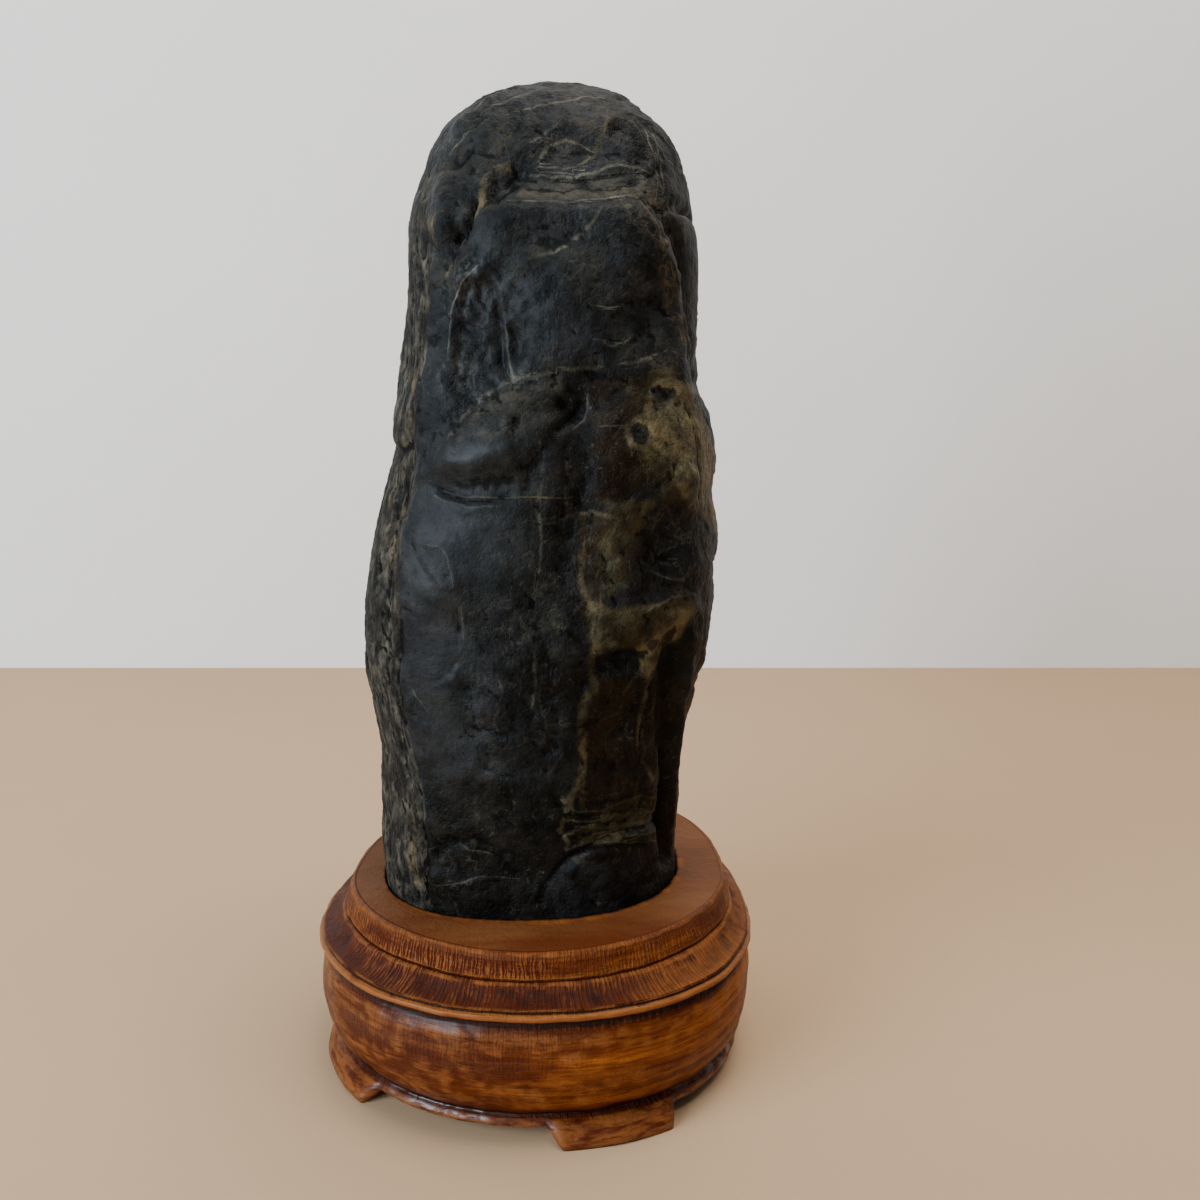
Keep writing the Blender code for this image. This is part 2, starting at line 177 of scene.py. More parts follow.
def addPiece(name, bm, masks):
    mesh = bpy.data.meshes.new(name)
    bm.to_mesh(mesh)
    bm.free()
    mesh.shade_smooth()
    for mask, values in masks.items():
        layer = mesh.attributes.new(mask, "FLOAT", "POINT")
        layer.data.foreach_set("value", values.astype(np.float32))
    piece = bpy.data.objects.new(name, mesh)
    bpy.context.scene.collection.objects.link(piece)
    return piece


stoneForm = {
    "stations": [  # height, left, right, front and back edge
        (-10.0, -2, -2, 6, 6), (-10.0, -30, 26, -18, 32), (-8.6, -43.4, 38.6, -29.6, 46),
        (-5.0, -45.2, 40.6, -31.5, 48.2), (0, -46.0, 41.4, -32.3, 49), (6, -46.1, 40.9, -33.0, 49.6),
        (14, -46.0, 40.4, -33.8, 50), (30, -46.2, 42.0, -35.5, 51.5), (50, -47.0, 45.8, -37.5, 52.5),
        (66, -48.4, 48.0, -38.8, 53), (79, -49.0, 48.9, -39.6, 53), (90, -48.0, 49.2, -40, 52.5),
        (101, -45.6, 48.8, -40, 52), (112, -43.0, 48.4, -39.5, 51), (124, -40.2, 48.2, -38.5, 49.5),
        (136, -39.0, 47.0, -37, 48), (148, -36.8, 44.9, -35.3, 46.5), (162, -34.8, 44.4, -33.6, 45),
        (177, -33.8, 44.6, -32.2, 44), (187, -32.8, 43.8, -31.0, 43), (192, -32.1, 43.0, -28.0, 42),
        (198, -30.8, 41.8, -23.5, 40.2), (205, -27.8, 39.4, -20.6, 37.2), (211, -23.4, 35.6, -16.3, 33),
        (217, -15.7, 29.4, -9.5, 27), (220.5, -8.6, 23.4, -3.5, 22), (223.3, 0.0, 16.5, 3, 16.5),
        (224.5, 7.5, 7.5, 9.5, 9.5)],
    "cornerFrontLeft": 2.5,
    "cornerFrontRight": 2.25,
    "cornerBack": 2.3,
    "footLevel": -10.0,
    "fitGap": 0.45,
    "calmBelow": (2.5, 14.0),  # large relief fades to nothing here, towards the stand
    "fineCalmBelow": (0.2, 3.0),
    "columns": 270,
    "rings": 340,
    "frontFiner": 22.0,  # degrees by which columns are drawn towards the front
    "ringShares": ((0.0, 0.04, 1.0), (0.0, 0.155, 1.0)),  # few rings under the foot, which is hidden
}

# layers that stand proud or sink in: raise, width of the soft edge, heights between which they
# grow to their full rise, outline in degrees and millimetres
stonePlates = {
    "upperFront": (1.5, 7.0, (-30, -20), [
        (-37, 150), (-32, 170), (-25, 181), (-10, 188), (10, 190), (25, 189), (38, 187), (48, 181),
        (57, 171), (66, 159), (70, 149), (55, 143), (30, 147), (14, 150), (0, 146), (-9, 145), (-17, 141),
        (-26, 136), (-37, 130)]),
    "leftLobe": (2.6, 8.0, (60, 128), [
        (-40, 124), (-26, 134), (-17, 139), (-9, 143), (0, 143), (6, 136), (8, 126), (6, 110), (2, 90),
        (0, 40), (-34, 40), (-38, 66), (-42, 90), (-43, 108)]),
    "rightLobe": (2.2, 14.0, (-30, -20), [
        (15, 138), (30, 147), (50, 150), (66, 146), (88, 134), (104, 118), (112, 98), (98, 80), (78, 68),
        (56, 74), (34, 77), (18, 86), (13, 110)]),
    "footFacet": (1.6, 3.0, (-30, -20), [
        (7, 3), (11, 13), (19, 19), (29, 22), (46, 23), (60, 20), (62, 3)]),
    "backSlab": (3.0, 9.0, (0, 60), [
        (150, 20), (147, 70), (152, 120), (160, 158), (178, 172), (200, 164), (212, 130), (216, 84),
        (212, 40), (204, 16)]),
    "leftBack": (2.2, 8.0, (-30, -20), [
        (-122, 18), (-126, 70), (-118, 118), (-104, 140), (-92, 128), (-90, 80), (-96, 30)]),
    "bulge": (1.3, 7.0, (-30, -20), [
        (-29, 125), (-26, 128), (-18, 129), (-11, 130), (-5, 130.5), (-4, 128), (-6, 124), (-12, 122.5),
        (-21, 122), (-27, 123)]),
    "crackPit": (-1.1, 5.0, (-30, -20), [
        (-17, 195), (-14, 197.4), (-10, 199), (-7, 198), (-7, 194), (-10, 190.5), (-14, 188),
        (-18.5, 190.5)]),
    "crackEnd": (-1.6, 1.4, (-30, -20), [(-34, 180), (-31.5, 182), (-28.5, 181), (-31, 178.5)]),
    "slotFacet": (-0.7, 1.8, (-30, -20), [
        (-33, 189), (-27, 190), (-24.5, 188), (-25, 183), (-27, 180.5), (-31, 181), (-34, 185)]),
    "crescent": (-1.3, 2.0, (-30, -20), [
        (13, 141), (12.5, 138), (9, 135.5), (6, 134), (3, 133.5), (5, 136), (8, 138), (11, 141)]),
    "triangle": (-1.0, 1.3, (-30, -20), [
        (-21, 169), (-18, 170.5), (-15, 170.5), (-13, 166), (-13, 161), (-17, 163), (-20.5, 165)]),
    "eye": (-0.12, 1.8, (-30, -20), [
        (38, 143), (44, 144.3), (49, 142.6), (49, 140.6), (44, 139), (38, 140.6)]),
    "eyeLow": (-0.15, 1.8, (-30, -20), [
        (26.5, 134), (30, 136), (34, 135), (34, 132), (31, 129.3), (27.5, 131)]),
    "lens": (-0.35, 2.0, (-30, -20), [
        (18, 75), (24, 77), (33, 75.4), (33, 72.5), (27, 70.6), (22, 70.6), (18.5, 72.6)]),
    "strawLobe": (0.8, 2.6, (-30, -20), [
        (44, 123), (49, 124), (55, 122.3), (57, 117.5), (55, 114), (50, 113), (46, 116), (43, 119)]),
}

# lumps and dents: azimuth, height, half width, half height, rise, lean in degrees
stoneLumps = [
    (-18, 158, 12, 19, -4.4, 0), (-24, 172, 8, 5, 1.4, 20), (1, 181, 9, 5, -2.2, 0),
    (33, 178, 12, 8, 1.2, 0), (32, 160, 12, 8, -1.6, 10), (-12, 130, 16, 6, 1.6, 14),
    (-16, 119.5, 14, 3.4, -1.0, 6), (-24, 98, 8, 12, 1.2, 20), (9, 138, 7, 6, -1.8, 30),
    (46, 126, 13, 15, 1.6, 0), (40, 105, 11, 8, -2.4, 0), (36, 84, 16, 6, 1.8, 10),
    (26, 73, 10, 4.5, -2.2, 10), (30, 50, 13, 20, -2.6, 0), (9, 203, 10, 4, -1.4, 0),
    (-44, 188, 8, 9, 0.6, 0), (-17, 17, 13, 6, -0.8, 0), (-60, 92, 10, 24, 0.8, 0),
    (-66, 150, 8, 16, -1.4, 0), (-58, 30, 9, 20, -1.2, 0), (88, 200, 14, 9, 1.2, 0),
    (95, 165, 16, 18, 1.2, 0), (92, 52, 13, 22, -1.4, 0), (84, 16, 12, 12, 1.2, 0),
    (130, 148, 15, 14, -3.2, 20), (124, 96, 14, 16, 2.0, 0), (126, 40, 12, 20, -2.6, -10),
    (170, 104, 16, 12, -2.8, 15), (192, 138, 12, 14, 2.0, 0), (186, 56, 14, 18, 1.8, 0),
    (-140, 176, 16, 12, -2.4, 25), (-112, 168, 14, 12, 1.4, 0), (-142, 112, 10, 20, -3.0, 0),
    (-108, 60, 12, 18, -1.8, 15), (160, 190, 18, 8, -1.8, 0),
]

# grooves: depth (negative for a ridge), half width, route in degrees and millimetres
stoneGrooves = {
    "leftRidge": (-1.2, 5.0, [
        (-41, 207), (-38, 192), (-40, 176), (-43, 164), (-41, 135), (-41, 110), (-40, 89), (-37, 66),
        (-35, 42), (-32, 19), (-31, 8)]),
    "upperCrack": (1.6, 2.6, [(-7, 196), (-13, 194), (-18, 190), (-24, 189), (-26, 183), (-31, 180)]),
    "ledgeFoot": (0.9, 3.4, [(-8, 193), (8, 194), (24, 194), (38, 192)]),
    "rightLayer": (1.8, 4.0, [(44, 188), (56, 179), (67, 165), (75, 152), (80, 146)]),
    "rightNotch": (1.4, 1.8, [(54, 190), (74, 189.5), (86, 187), (97, 180), (104, 170)]),
    "leftNotch": (1.6, 2.2, [(-48, 129), (-62, 126), (-80, 126), (-100, 131)]),
    "valley": (0.8, 6.0, [(11, 147), (9, 136), (8, 124), (9, 112)]),
    "rightGutter": (3.2, 4.5, [(47, 78), (50, 62), (54, 48), (62, 28), (66, 4)]),
    "gutterEdge": (-1.6, 3.0, [(58, 76), (62, 56), (70, 30), (74, 8)]),
    "lowerLeftEdge": (0.8, 2.0, [(-31, 14), (-24, 21), (-13, 24), (-4, 20)]),
    "backSeam": (2.6, 4.5, [(139, 12), (136, 60), (141, 112), (148, 152), (166, 180)]),
    "backCross": (2.0, 3.0, [(150, 122), (172, 128), (196, 122), (214, 112)]),
    "leftSeam": (2.2, 4.0, [(-128, 190), (-134, 150), (-128, 100), (-132, 50), (-126, 6)]),
}
stoneWaves = [(26.0, 1.7), (12.0, 0.7)]  # size, swell

# small cracks and raised lines, only in the fine surface: depth, half width, route
fineGrooves = {
    "slot": (2.2, 0.9, [(-24, 189.5), (-25, 186.5), (-25.3, 184), (-26.5, 180.5)]),
    "slotBack": (-0.3, 1.1, [(-22, 188), (-22.5, 184), (-24, 180.5)]),
    "crackDeep": (0.8, 1.1, [(-8.5, 197), (-11, 196), (-12.5, 193), (-15, 190.6)]),
    "crackStep": (0.6, 0.8, [(-16, 196), (-17, 192), (-20, 188)]),
    "ledgeLine": (0.4, 0.9, [
        (-10, 188.8), (-4, 188.4), (7, 188.5), (13, 188.4), (22, 189.5), (29, 189.9), (44, 188.8),
        (62, 188)]),
    "terraceCrack": (0.6, 0.6, [(-6, 194), (4, 193), (12, 194.4), (24, 193.2), (36, 194)]),
    "terraceEdge": (0.5, 0.7, [(-8, 196.6), (1, 195), (7, 195), (19, 196.6), (32, 196.6), (41, 195.6)]),
    "notch": (1.8, 0.9, [(60, 189), (74, 189), (86, 187)]),
    "stripEdge": (0.6, 0.8, [(36, 189), (41, 185), (46, 179), (52, 174), (56, 167), (60, 158), (64, 150)]),
    "stripLine": (0.35, 0.7, [(42, 209), (47, 201), (49, 195), (49, 182), (55, 173), (60, 162)]),
    "scar": (-0.8, 0.8, [(-10, 158), (-9, 154), (-8, 151), (-6, 146)]),
    "scarSide": (1.0, 1.1, [(-13, 164), (-12, 158), (-10.5, 151), (-8.6, 146)]),
    "hollowRim": (-0.6, 1.3, [(-20, 173), (-24, 171), (-28.5, 167), (-31, 163), (-31, 157), (-30, 150)]),
    "hollowLeft": (0.5, 1.5, [(-26, 167), (-27.5, 162), (-27.5, 154), (-26, 147), (-20, 143.5)]),
    "triangleLeft": (-0.5, 0.7, [(-19, 171.5), (-22.5, 169), (-21.5, 164.5), (-17, 161.5), (-12, 158.5)]),
    "triangleRight": (-0.5, 0.7, [(-14, 171.5), (-11.5, 166), (-11.5, 160)]),
    "crescentRim": (-0.25, 0.8, [(14, 142), (14.5, 139), (12.5, 135.6), (8, 133), (4, 131), (0, 130)]),
    "crescentTail": (0.8, 1.0, [(4, 133), (0, 129), (-2, 124), (-2, 119)]),
    "fold": (0.7, 0.7, [(-29, 118.2), (-23, 117.2), (-17, 116.4), (-11, 116.4), (-6, 117.2)]),
    "foldLip": (-0.2, 0.9, [(-31, 117), (-26, 115.4), (-21, 114.2), (-17, 113.6), (-13, 114.4), (-8, 115)]),
    "leafA": (-0.14, 0.7, [(-38, 110), (-33, 105), (-29, 101.5), (-25, 97), (-22, 94.5), (-18, 94.3)]),
    "leafB": (-0.12, 0.7, [(-29, 105), (-24, 104.8), (-21, 102), (-19, 98), (-18, 94.6)]),
    "leafHollow": (0.3, 1.5, [(-29, 103), (-25, 101), (-21, 97.5)]),
    "leafDark": (0.25, 1.0, [(-35, 105), (-31, 100.5), (-27, 96), (-24, 93)]),
    "centreLine": (0.25, 0.5, [(0, 130), (0, 123), (0, 114), (1, 107), (1, 88), (1, 72), (1, 56)]),
    "centreRight": (0.3, 0.7, [(6, 126), (6, 120), (6, 112)]),
    "longPit": (0.6, 0.6, [(-17, 88.5), (-16.5, 86), (-16.2, 83)]),
    "barkCrack": (1.0, 0.9, [(-37, 84), (-37, 77), (-39, 68), (-39, 56)]),
    "lowCrack": (1.2, 0.8, [(-33, 27), (-31, 22), (-32, 14), (-33, 4)]),
    "gutterLine": (0.5, 0.7, [(42, 66), (41, 60), (40, 54), (40, 48)]),
    "gutterCrack": (2.0, 1.1, [(57, 42), (61, 34), (64, 26), (65, 17), (63, 10)]),
    "gutterCrest": (-0.6, 0.9, [(54, 38), (58, 31), (60.5, 23), (60, 16), (58, 10)]),
    "strawCrack": (0.8, 0.7, [(54, 138), (56, 134), (57, 130), (57.5, 125), (58.5, 120), (60.5, 114)]),
    "patchTop": (-0.4, 0.7, [(33, 88), (38, 89), (43, 90), (52, 90)]),
    "slabLine": (-0.4, 0.7, [(33, 98.6), (36, 97), (42, 95), (50, 93.5)]),
    "facetEdge": (0.8, 0.8, [(4.5, 5), (7, 10.5), (11, 14.5), (15, 18), (20, 20), (32, 19.5), (46, 18)]),
    "lensTop": (0.35, 0.7, [(-32, 20), (-21, 23), (-14, 21), (-8, 19.5), (-3, 17), (-1, 13)]),
    "lensLow": (-0.25, 0.7, [(-32, 10), (-25, 10), (-17, 10.7), (-11, 12.8), (-5, 12.8), (-1, 12)]),
    "fanA": (-0.4, 0.7, [(15, 20.5), (21, 22.4), (29, 23.5), (41, 22.4), (58, 19.8)]),
    "fanB": (-0.4, 0.7, [(14, 24.9), (19, 26.8), (29, 25.6), (45, 25), (57, 23.1)]),
    "fanC": (-0.4, 0.7, [(13, 29.6), (22, 28.4), (32, 28.4), (44, 27.9), (56, 26)]),
    "fanD": (-0.4, 0.7, [(11, 35.2), (16, 31.9), (25, 31.1), (33, 32.2), (42, 33), (52, 31.4)]),
    "rowA": (-0.3, 0.6, [(20, 166.3), (24, 165.9), (28, 166.3)]),
    "rowB": (-0.3, 0.6, [(14, 164.1), (19, 163), (24, 163.3)]),
    "rowC": (-0.35, 0.6, [(17, 154.9), (22, 153.8), (27, 154.6), (30, 156.4)]),
    "backCrackA": (1.2, 0.9, [(158, 186), (150, 168), (153, 146), (146, 128)]),
    "backCrackB": (1.0, 0.8, [(176, 66), (190, 60), (204, 66), (214, 58)]),
    "rightCrack": (0.9, 0.8, [(82, 118), (96, 110), (104, 96), (118, 90)]),
}

# where the colour or the texture changes: the field it feeds, its strength there, the width of
# its edge in millimetres, outline
stoneStains = {
    "bigHollow": ("hollow", 1.0, 6.0, [
        (-33, 168), (-26, 175), (-14, 175), (-6, 168), (-4, 158), (-5, 148), (-14, 143), (-24, 139),
        (-33, 146)]),
    "barkSide": ("bark", 1.0, 3.0, [
        (-43, 176), (-42, 157), (-42, 132), (-43, 118), (-42, 108), (-39, 99), (-38, 90), (-37, 79),
        (-39, 68), (-39, 56), (-37, 46), (-34, 38), (-32, 29), (-32, 20), (-33, 6), (-33, -6), (-112, -6),
        (-118, 60), (-104, 120), (-84, 176)]),
    "leftTop": ("bark", 0.55, 10.0, [
        (-46, 174), (-46, 186), (-52, 200), (-70, 204), (-96, 190), (-96, 170)]),
    "polishLeft": ("polish", 0.85, 14.0, [
        (-38, 130), (-30, 131), (-14, 131), (-4, 131), (-3, 118), (-5, 96), (-14, 92), (-16, 60), (-20, 42),
        (-34, 40), (-35, 66), (-34, 90), (-38, 108)]),
    "polishTop": ("polish", 0.3, 12.0, [
        (-30, 176), (-20, 184), (0, 186), (20, 184), (26, 170), (20, 152), (0, 152), (-4, 170)]),
    "polishStrip": ("polish", 0.35, 5.0, [
        (52, 200), (78, 198), (96, 182), (100, 150), (70, 150), (60, 168), (54, 184)]),
    "slotShine": ("gleam", 0.4, 1.8, [
        (-32, 189.3), (-26, 189), (-25.6, 184.2), (-28, 181.7), (-32, 184.2)]),
    "crackShine": ("gleam", 0.5, 1.6, [(-16, 196), (-12, 197.4), (-10, 195.5), (-13, 192.9), (-16, 192.2)]),
    "rimShine": ("gleam", 0.5, 2.6, [
        (-30, 171.4), (-23, 173.6), (-19, 174.3), (-18, 172.1), (-22, 169.6), (-25, 164.8), (-27, 160.1),
        (-31, 161.5)]),
    "bulgeShine": ("gleam", 0.55, 6.0, [
        (-29, 125.9), (-23, 128.6), (-11, 130.4), (-5, 129.6), (-7, 126.3), (-14, 124.1), (-24, 122.6)]),
    "stripShine": ("gleam", 0.35, 5.0, [
        (-36, 149.5), (-26, 149.5), (-23, 144.8), (-24, 138.6), (-32, 140.8)]),
    "leftShine": ("gleam", 0.3, 8.0, [
        (-39, 98.6), (-31, 99.7), (-23, 96.8), (-17, 91.7), (-21, 86.2), (-29, 89.9), (-38, 92.5)]),
    "lowShine": ("gleam", 0.35, 9.0, [
        (-35, 83.3), (-26, 80.7), (-15, 77.1), (-12, 71.6), (-18, 68.7), (-26, 70.9), (-33, 76.7)]),
    "shoulderWeb": ("web", 1.0, 5.0, [
        (22, 193), (30, 192.4), (38, 191), (50, 189.5), (53, 181), (57, 172), (66, 155.3), (56, 152),
        (48, 163), (40, 172), (33, 181), (24, 187)]),
    "domeWeb": ("web", 0.25, 14.0, [
        (-28, 200), (-22, 214), (0, 219), (34, 217), (50, 207), (44, 198), (20, 198)]),
    "strawUpper": ("straw", 1.0, 3.5, [
        (38, 145), (44, 145.5), (51, 145), (58, 142), (66, 136.5), (76, 130), (83, 119), (83, 109),
        (83, 104), (76, 107.7), (63, 113.5), (58, 116), (56, 114), (51, 113), (46, 116), (42, 121),
        (39, 126), (34, 129), (29, 128.5), (26, 131), (27, 136), (32, 137), (35, 141)]),
    "strawLower": ("straw", 1.0, 6.0, [
        (36, 84), (46, 87), (55, 86), (54, 82.6), (52, 76), (45, 72), (41, 67.6), (39, 66.8), (36, 70),
        (35, 75), (31, 79)]),
    "oliveUpper": ("olive", 0.8, 12.0, [
        (24, 146), (48, 149), (66, 140), (78, 122), (88, 106), (66, 100), (46, 110), (30, 122), (20, 132)]),
    "oliveMiddle": ("olive", 0.8, 8.0, [
        (17, 116.1), (24, 118.6), (35, 117), (33, 107.3), (35, 99), (26, 94), (20, 91), (16, 100)]),
    "oliveLower": ("olive", 0.95, 4.0, [
        (15, 90), (30, 89), (38, 89.5), (52, 90), (57, 85), (53, 82), (52, 76), (45, 72), (39, 67),
        (35, 70), (34, 76.3), (26, 77.4), (21, 76.7), (17, 76)]),
    "oliveFan": ("olive", 0.7, 5.0, [
        (16, 26), (27, 31), (46, 33), (50, 27), (46, 22), (30, 20.5), (18, 19.5)]),
    "umberUpper": ("umber", 1.0, 7.0, [
        (16, 146), (27, 146), (36, 145), (36, 141), (27, 137), (25, 133), (26, 129.5), (32, 128.5),
        (33, 120), (26, 117.5), (16, 116), (14, 130)]),
    "umberLower": ("umber", 1.0, 8.0, [
        (17, 72), (40, 66), (52, 70), (60, 60), (62, 28), (40, 24), (14, 34), (16, 48), (17, 60)]),
    "umberBand": ("umber", 1.0, 4.0, [(11, 114.2), (19, 113.9), (19, 99.7), (18, 86), (13, 84), (11, 100)]),
    "umberSide": ("umber", 0.7, 22.0, [
        (62, 132), (88, 112), (116, 100), (116, 10), (58, 6), (60, 60), (66, 90)]),
    "umberAll": ("umber", 0.35, 16.0, [
        (10, 146), (62, 146), (84, 100), (74, 8), (10, 4), (12, 70), (8, 110)]),
    "duskSlab": ("dusk", 1.0, 5.0, [
        (32, 112), (40, 113.5), (47, 113.5), (59, 110), (75, 104), (80, 98), (63, 94), (52, 93.5), (41, 96),
        (35, 100), (36, 106)]),
    "ovalShade": ("dusk", 0.42, 2.6, [
        (-1, 201.2), (0, 203.6), (5, 204.7), (11, 204.1), (14, 201.9), (11, 199.5), (5, 198.3), (1, 198.9)]),
    # the stains below darken the stone low down, in the middle and at the right: partly its own dark colour,
    # partly painted shade
    "lowLeft": ("darkStoneAndShade", 1.0, 9.0, [
        (-31, 39.9), (-7, 42.8), (12, 41.3), (11, 28.6), (9, 18), (-7, 20.9), (-30, 23.5)]),
    "column": ("darkStoneAndShade", 0.6, 8.0, [(-8, 91), (0, 91), (1, 69.8), (2, 45.3), (-7, 47.5), (-7, 69.8)]),
    "nightLow": ("darkStoneAndShade", 1.0, 24.0, [(-40, 34), (-20, 40), (10, 44), (70, 40), (90, -10), (-44, -10)]),
    "nightMiddle": ("darkStoneAndShade", 0.7, 16.0, [
        (-6, 134), (14, 150), (40, 146), (96, 150), (100, -10), (-12, -10), (-8, 60), (-3, 100)]),
    "nightCorner": ("darkStoneAndShade", 0.6, 20.0, [(0, 128), (20, 128), (20, 20), (-4, 20)]),
    "pitDark": ("blob", 0.7, 1.6, [
        (-11, 197.4), (-9, 197.8), (-8, 195.4), (-11, 192), (-13, 191.4), (-11, 194.6)]),
    "eye": ("blob", 1.0, 2.2, [(38, 143), (44, 144), (49, 142.6), (49, 140.8), (44, 139.4), (39, 140.8)]),
    "eyeLow": ("blob", 1.0, 2.2, [(27, 134), (30, 135.4), (34, 134.7), (34, 132), (31, 129.5), (28, 131)]),
    "pitCluster": ("blob", 0.75, 2.6, [(35, 79.6), (41, 79.6), (43, 76.7), (39, 75.6), (35, 77.4)]),
    "lens": ("blob", 1.0, 2.0, [
        (18, 75), (24, 76.7), (33, 75.2), (33, 72.7), (27, 70.6), (22, 70.6), (18.5, 72.7)]),
    "facet": ("blob", 0.6, 4.0, [
        (6, 6), (11, 13.5), (17, 17.5), (32, 17.5), (46, 15.6), (70, 7), (70, -1.4), (30, -3), (10, -3)]),
    "terrace": ("dust", 1.0, 2.0, [
        (-8, 190), (-6, 196), (1, 196), (7, 196), (19, 197.5), (32, 198), (43, 196), (44, 190), (29, 190.4),
        (22, 190), (4, 189.5)]),
    "lobeTop": ("dust", 0.75, 5.0, [
        (-24, 133), (-20, 137), (-13, 142), (-7, 145.5), (0, 147.5), (8, 146), (6, 139), (-1, 132),
        (-8, 131.5), (-21, 131)]),
    "upperPatch": ("dust", 0.5, 4.0, [(-3, 181), (2, 181), (6, 178), (0, 174.5), (-4, 176)]),
    "domeLeft": ("dust", 0.55, 9.0, [
        (-66, 190), (-53, 200), (-43, 206), (-33, 212), (-28, 214), (-36, 198), (-42, 186), (-52, 178),
        (-64, 176)]),
    "foldDust": ("rim", 0.3, 3.0, [
        (-27, 119), (-20, 120), (-12, 121), (-5, 122), (-4, 119), (-7, 117.5), (-13, 117), (-26, 117.3)]),
    "crackRim": ("rim", 0.62, 2.0, [
        (-23, 195.6), (-20, 197.9), (-16, 199.2), (-10, 199.6), (-7, 197.9), (-14, 196.9), (-18, 195.1),
        (-19, 191.8), (-20.6, 187.1), (-22, 183.5), (-24.6, 180.5), (-29, 178.6), (-31, 179.4), (-26, 182),
        (-23.6, 187.1)]),
    "crackDust": ("dust", 0.6, 2.4, [(-19, 194), (-16, 195), (-15, 190), (-18, 186), (-21, 186)]),
    "domeStreak": ("rim", 0.5, 4.0, [
        (-48, 188.2), (-40, 188.2), (-37, 185.3), (-41, 181.3), (-46, 176.5), (-51, 176.9), (-51, 182.4)]),
    "crown": ("rim", 0.5, 2.0, [
        (-8, 220.8), (-2, 221.7), (13, 221.5), (23, 218.4), (8, 218.8), (-1, 218.6)]),
    "domeTrail": ("rim", 0.45, 4.0, [
        (-44, 185), (-40, 190), (-37, 197), (-36, 202), (-32, 210), (-29, 212), (-32, 203), (-34, 196),
        (-37, 188)]),
    "smallStreak": ("rim", 0.55, 2.0, [
        (-36, 169.6), (-35, 173), (-32, 176), (-30.4, 175), (-32, 172), (-34, 169)]),
    "sideStreak": ("rim", 0.5, 4.0, [
        (-52, 152), (-46, 150), (-44, 138), (-45, 126), (-50, 128), (-52, 140)]),
    "sideStreakLow": ("rim", 0.55, 3.4, [
        (-50, 116), (-45, 115), (-43, 104), (-44, 96), (-49, 98), (-51, 106)]),
    "footStreak": ("rim", 0.5, 3.0, [(-44, 34), (-37, 30), (-34, 8), (-40, 4), (-45, 16)]),
    "ochreSide": ("rim", 0.75, 3.4, [
        (52, 145.5), (64, 143.3), (68, 134.7), (78, 123.3), (82, 112.1), (84, 102.6), (77, 102.3),
        (62, 111), (56, 122), (58, 132), (54, 140)]),
}


def stoneKnots():
    form = np.array(stoneForm["stations"], float)
    half = (form[:, 2] - form[:, 1]) / 2
    return np.concatenate([[0.0], np.cumsum(np.hypot(np.diff(form[:, 0]), np.diff(half)))])


def stoneBase(azimuth, along):
    form = spline(stoneKnots(), np.array(stoneForm["stations"], float), along)
    height, left, right, front, back = form.T
    angle = np.radians(azimuth - 90.0)
    corner = np.where(np.cos(angle) < 0, stoneForm["cornerFrontLeft"], stoneForm["cornerFrontRight"])
    corner = np.where(np.sin(angle) < 0, corner, stoneForm["cornerBack"])
    x, y = superellipse(angle, (right - left) / 2, (back - front) / 2, corner)
    height = np.maximum(height, stoneForm["footLevel"])
    return np.stack([x + (left + right) / 2, y + (front + back) / 2, height], axis=-1)


def stoneNormals(azimuth, along):
    turn, climb = 0.5, 0.4
    last = stoneKnots()[-1]
    across = stoneBase(azimuth + turn, along) - stoneBase(azimuth - turn, along)
    upward = (stoneBase(azimuth, np.minimum(along + climb, last))
              - stoneBase(azimuth, np.maximum(along - climb, 0.0)))
    normal = np.cross(across, upward)
    length = np.linalg.norm(normal, axis=1, keepdims=True)
    pole = np.array([0.0, 0.0, 1.0]) * np.where(along > last / 2, 1.0, -1.0)[:, None]
    return np.where(length > 1e-6, normal / np.maximum(length, 1e-6), pole)


def largeRelief(azimuth, height, points):
    relief = np.zeros(len(azimuth))
    for raiseBy, soft, growsOver, outline in stonePlates.values():
        full = smoothStep(*growsOver, height)
        relief += raiseBy * full * smoothStep(-soft / 2, soft / 2, depthInside(azimuth, height, outline))
    for middle, level, halfWidth, halfHeight, rise, lean in stoneLumps:
        across, up = unrolled(azimuth, height - level, middle).T
        c, s = math.cos(math.radians(lean)), math.sin(math.radians(lean))
        along, over = (across * c + up * s) / halfWidth, (up * c - across * s) / halfHeight
        relief += rise * np.exp(-((along**2 + over**2) ** 1.5))
    for depth, halfWidth, route in stoneGrooves.values():
        relief -= depth * np.exp(-((routeGap(azimuth, height, route) / halfWidth) ** 2))
    for size, swell in stoneWaves:
        relief += swell * noiseAt(points, size)
    return relief * smoothStep(*stoneForm["calmBelow"], height)


fineSkin = {
    # size and rise of each, in millimetres; the wander keeps lines from being straight
    "wander": (9.0, 0.8),
    "chips": (11.0, 0.8),
    "smallChips": (4.6, 0.6),
    "pebble": (4.5, 0.30),
    "grain": (1.9, 0.16),
    "hollowPits": (2.8, 0.65),
    "barkFibre": (3.2, 0.36),
    "barkPits": (3.4, 0.16),
    "roughClouds": 24.0,
    "warpSize": 7.0,
    "warpShifts": (11.0, 23.0, 37.0),
}


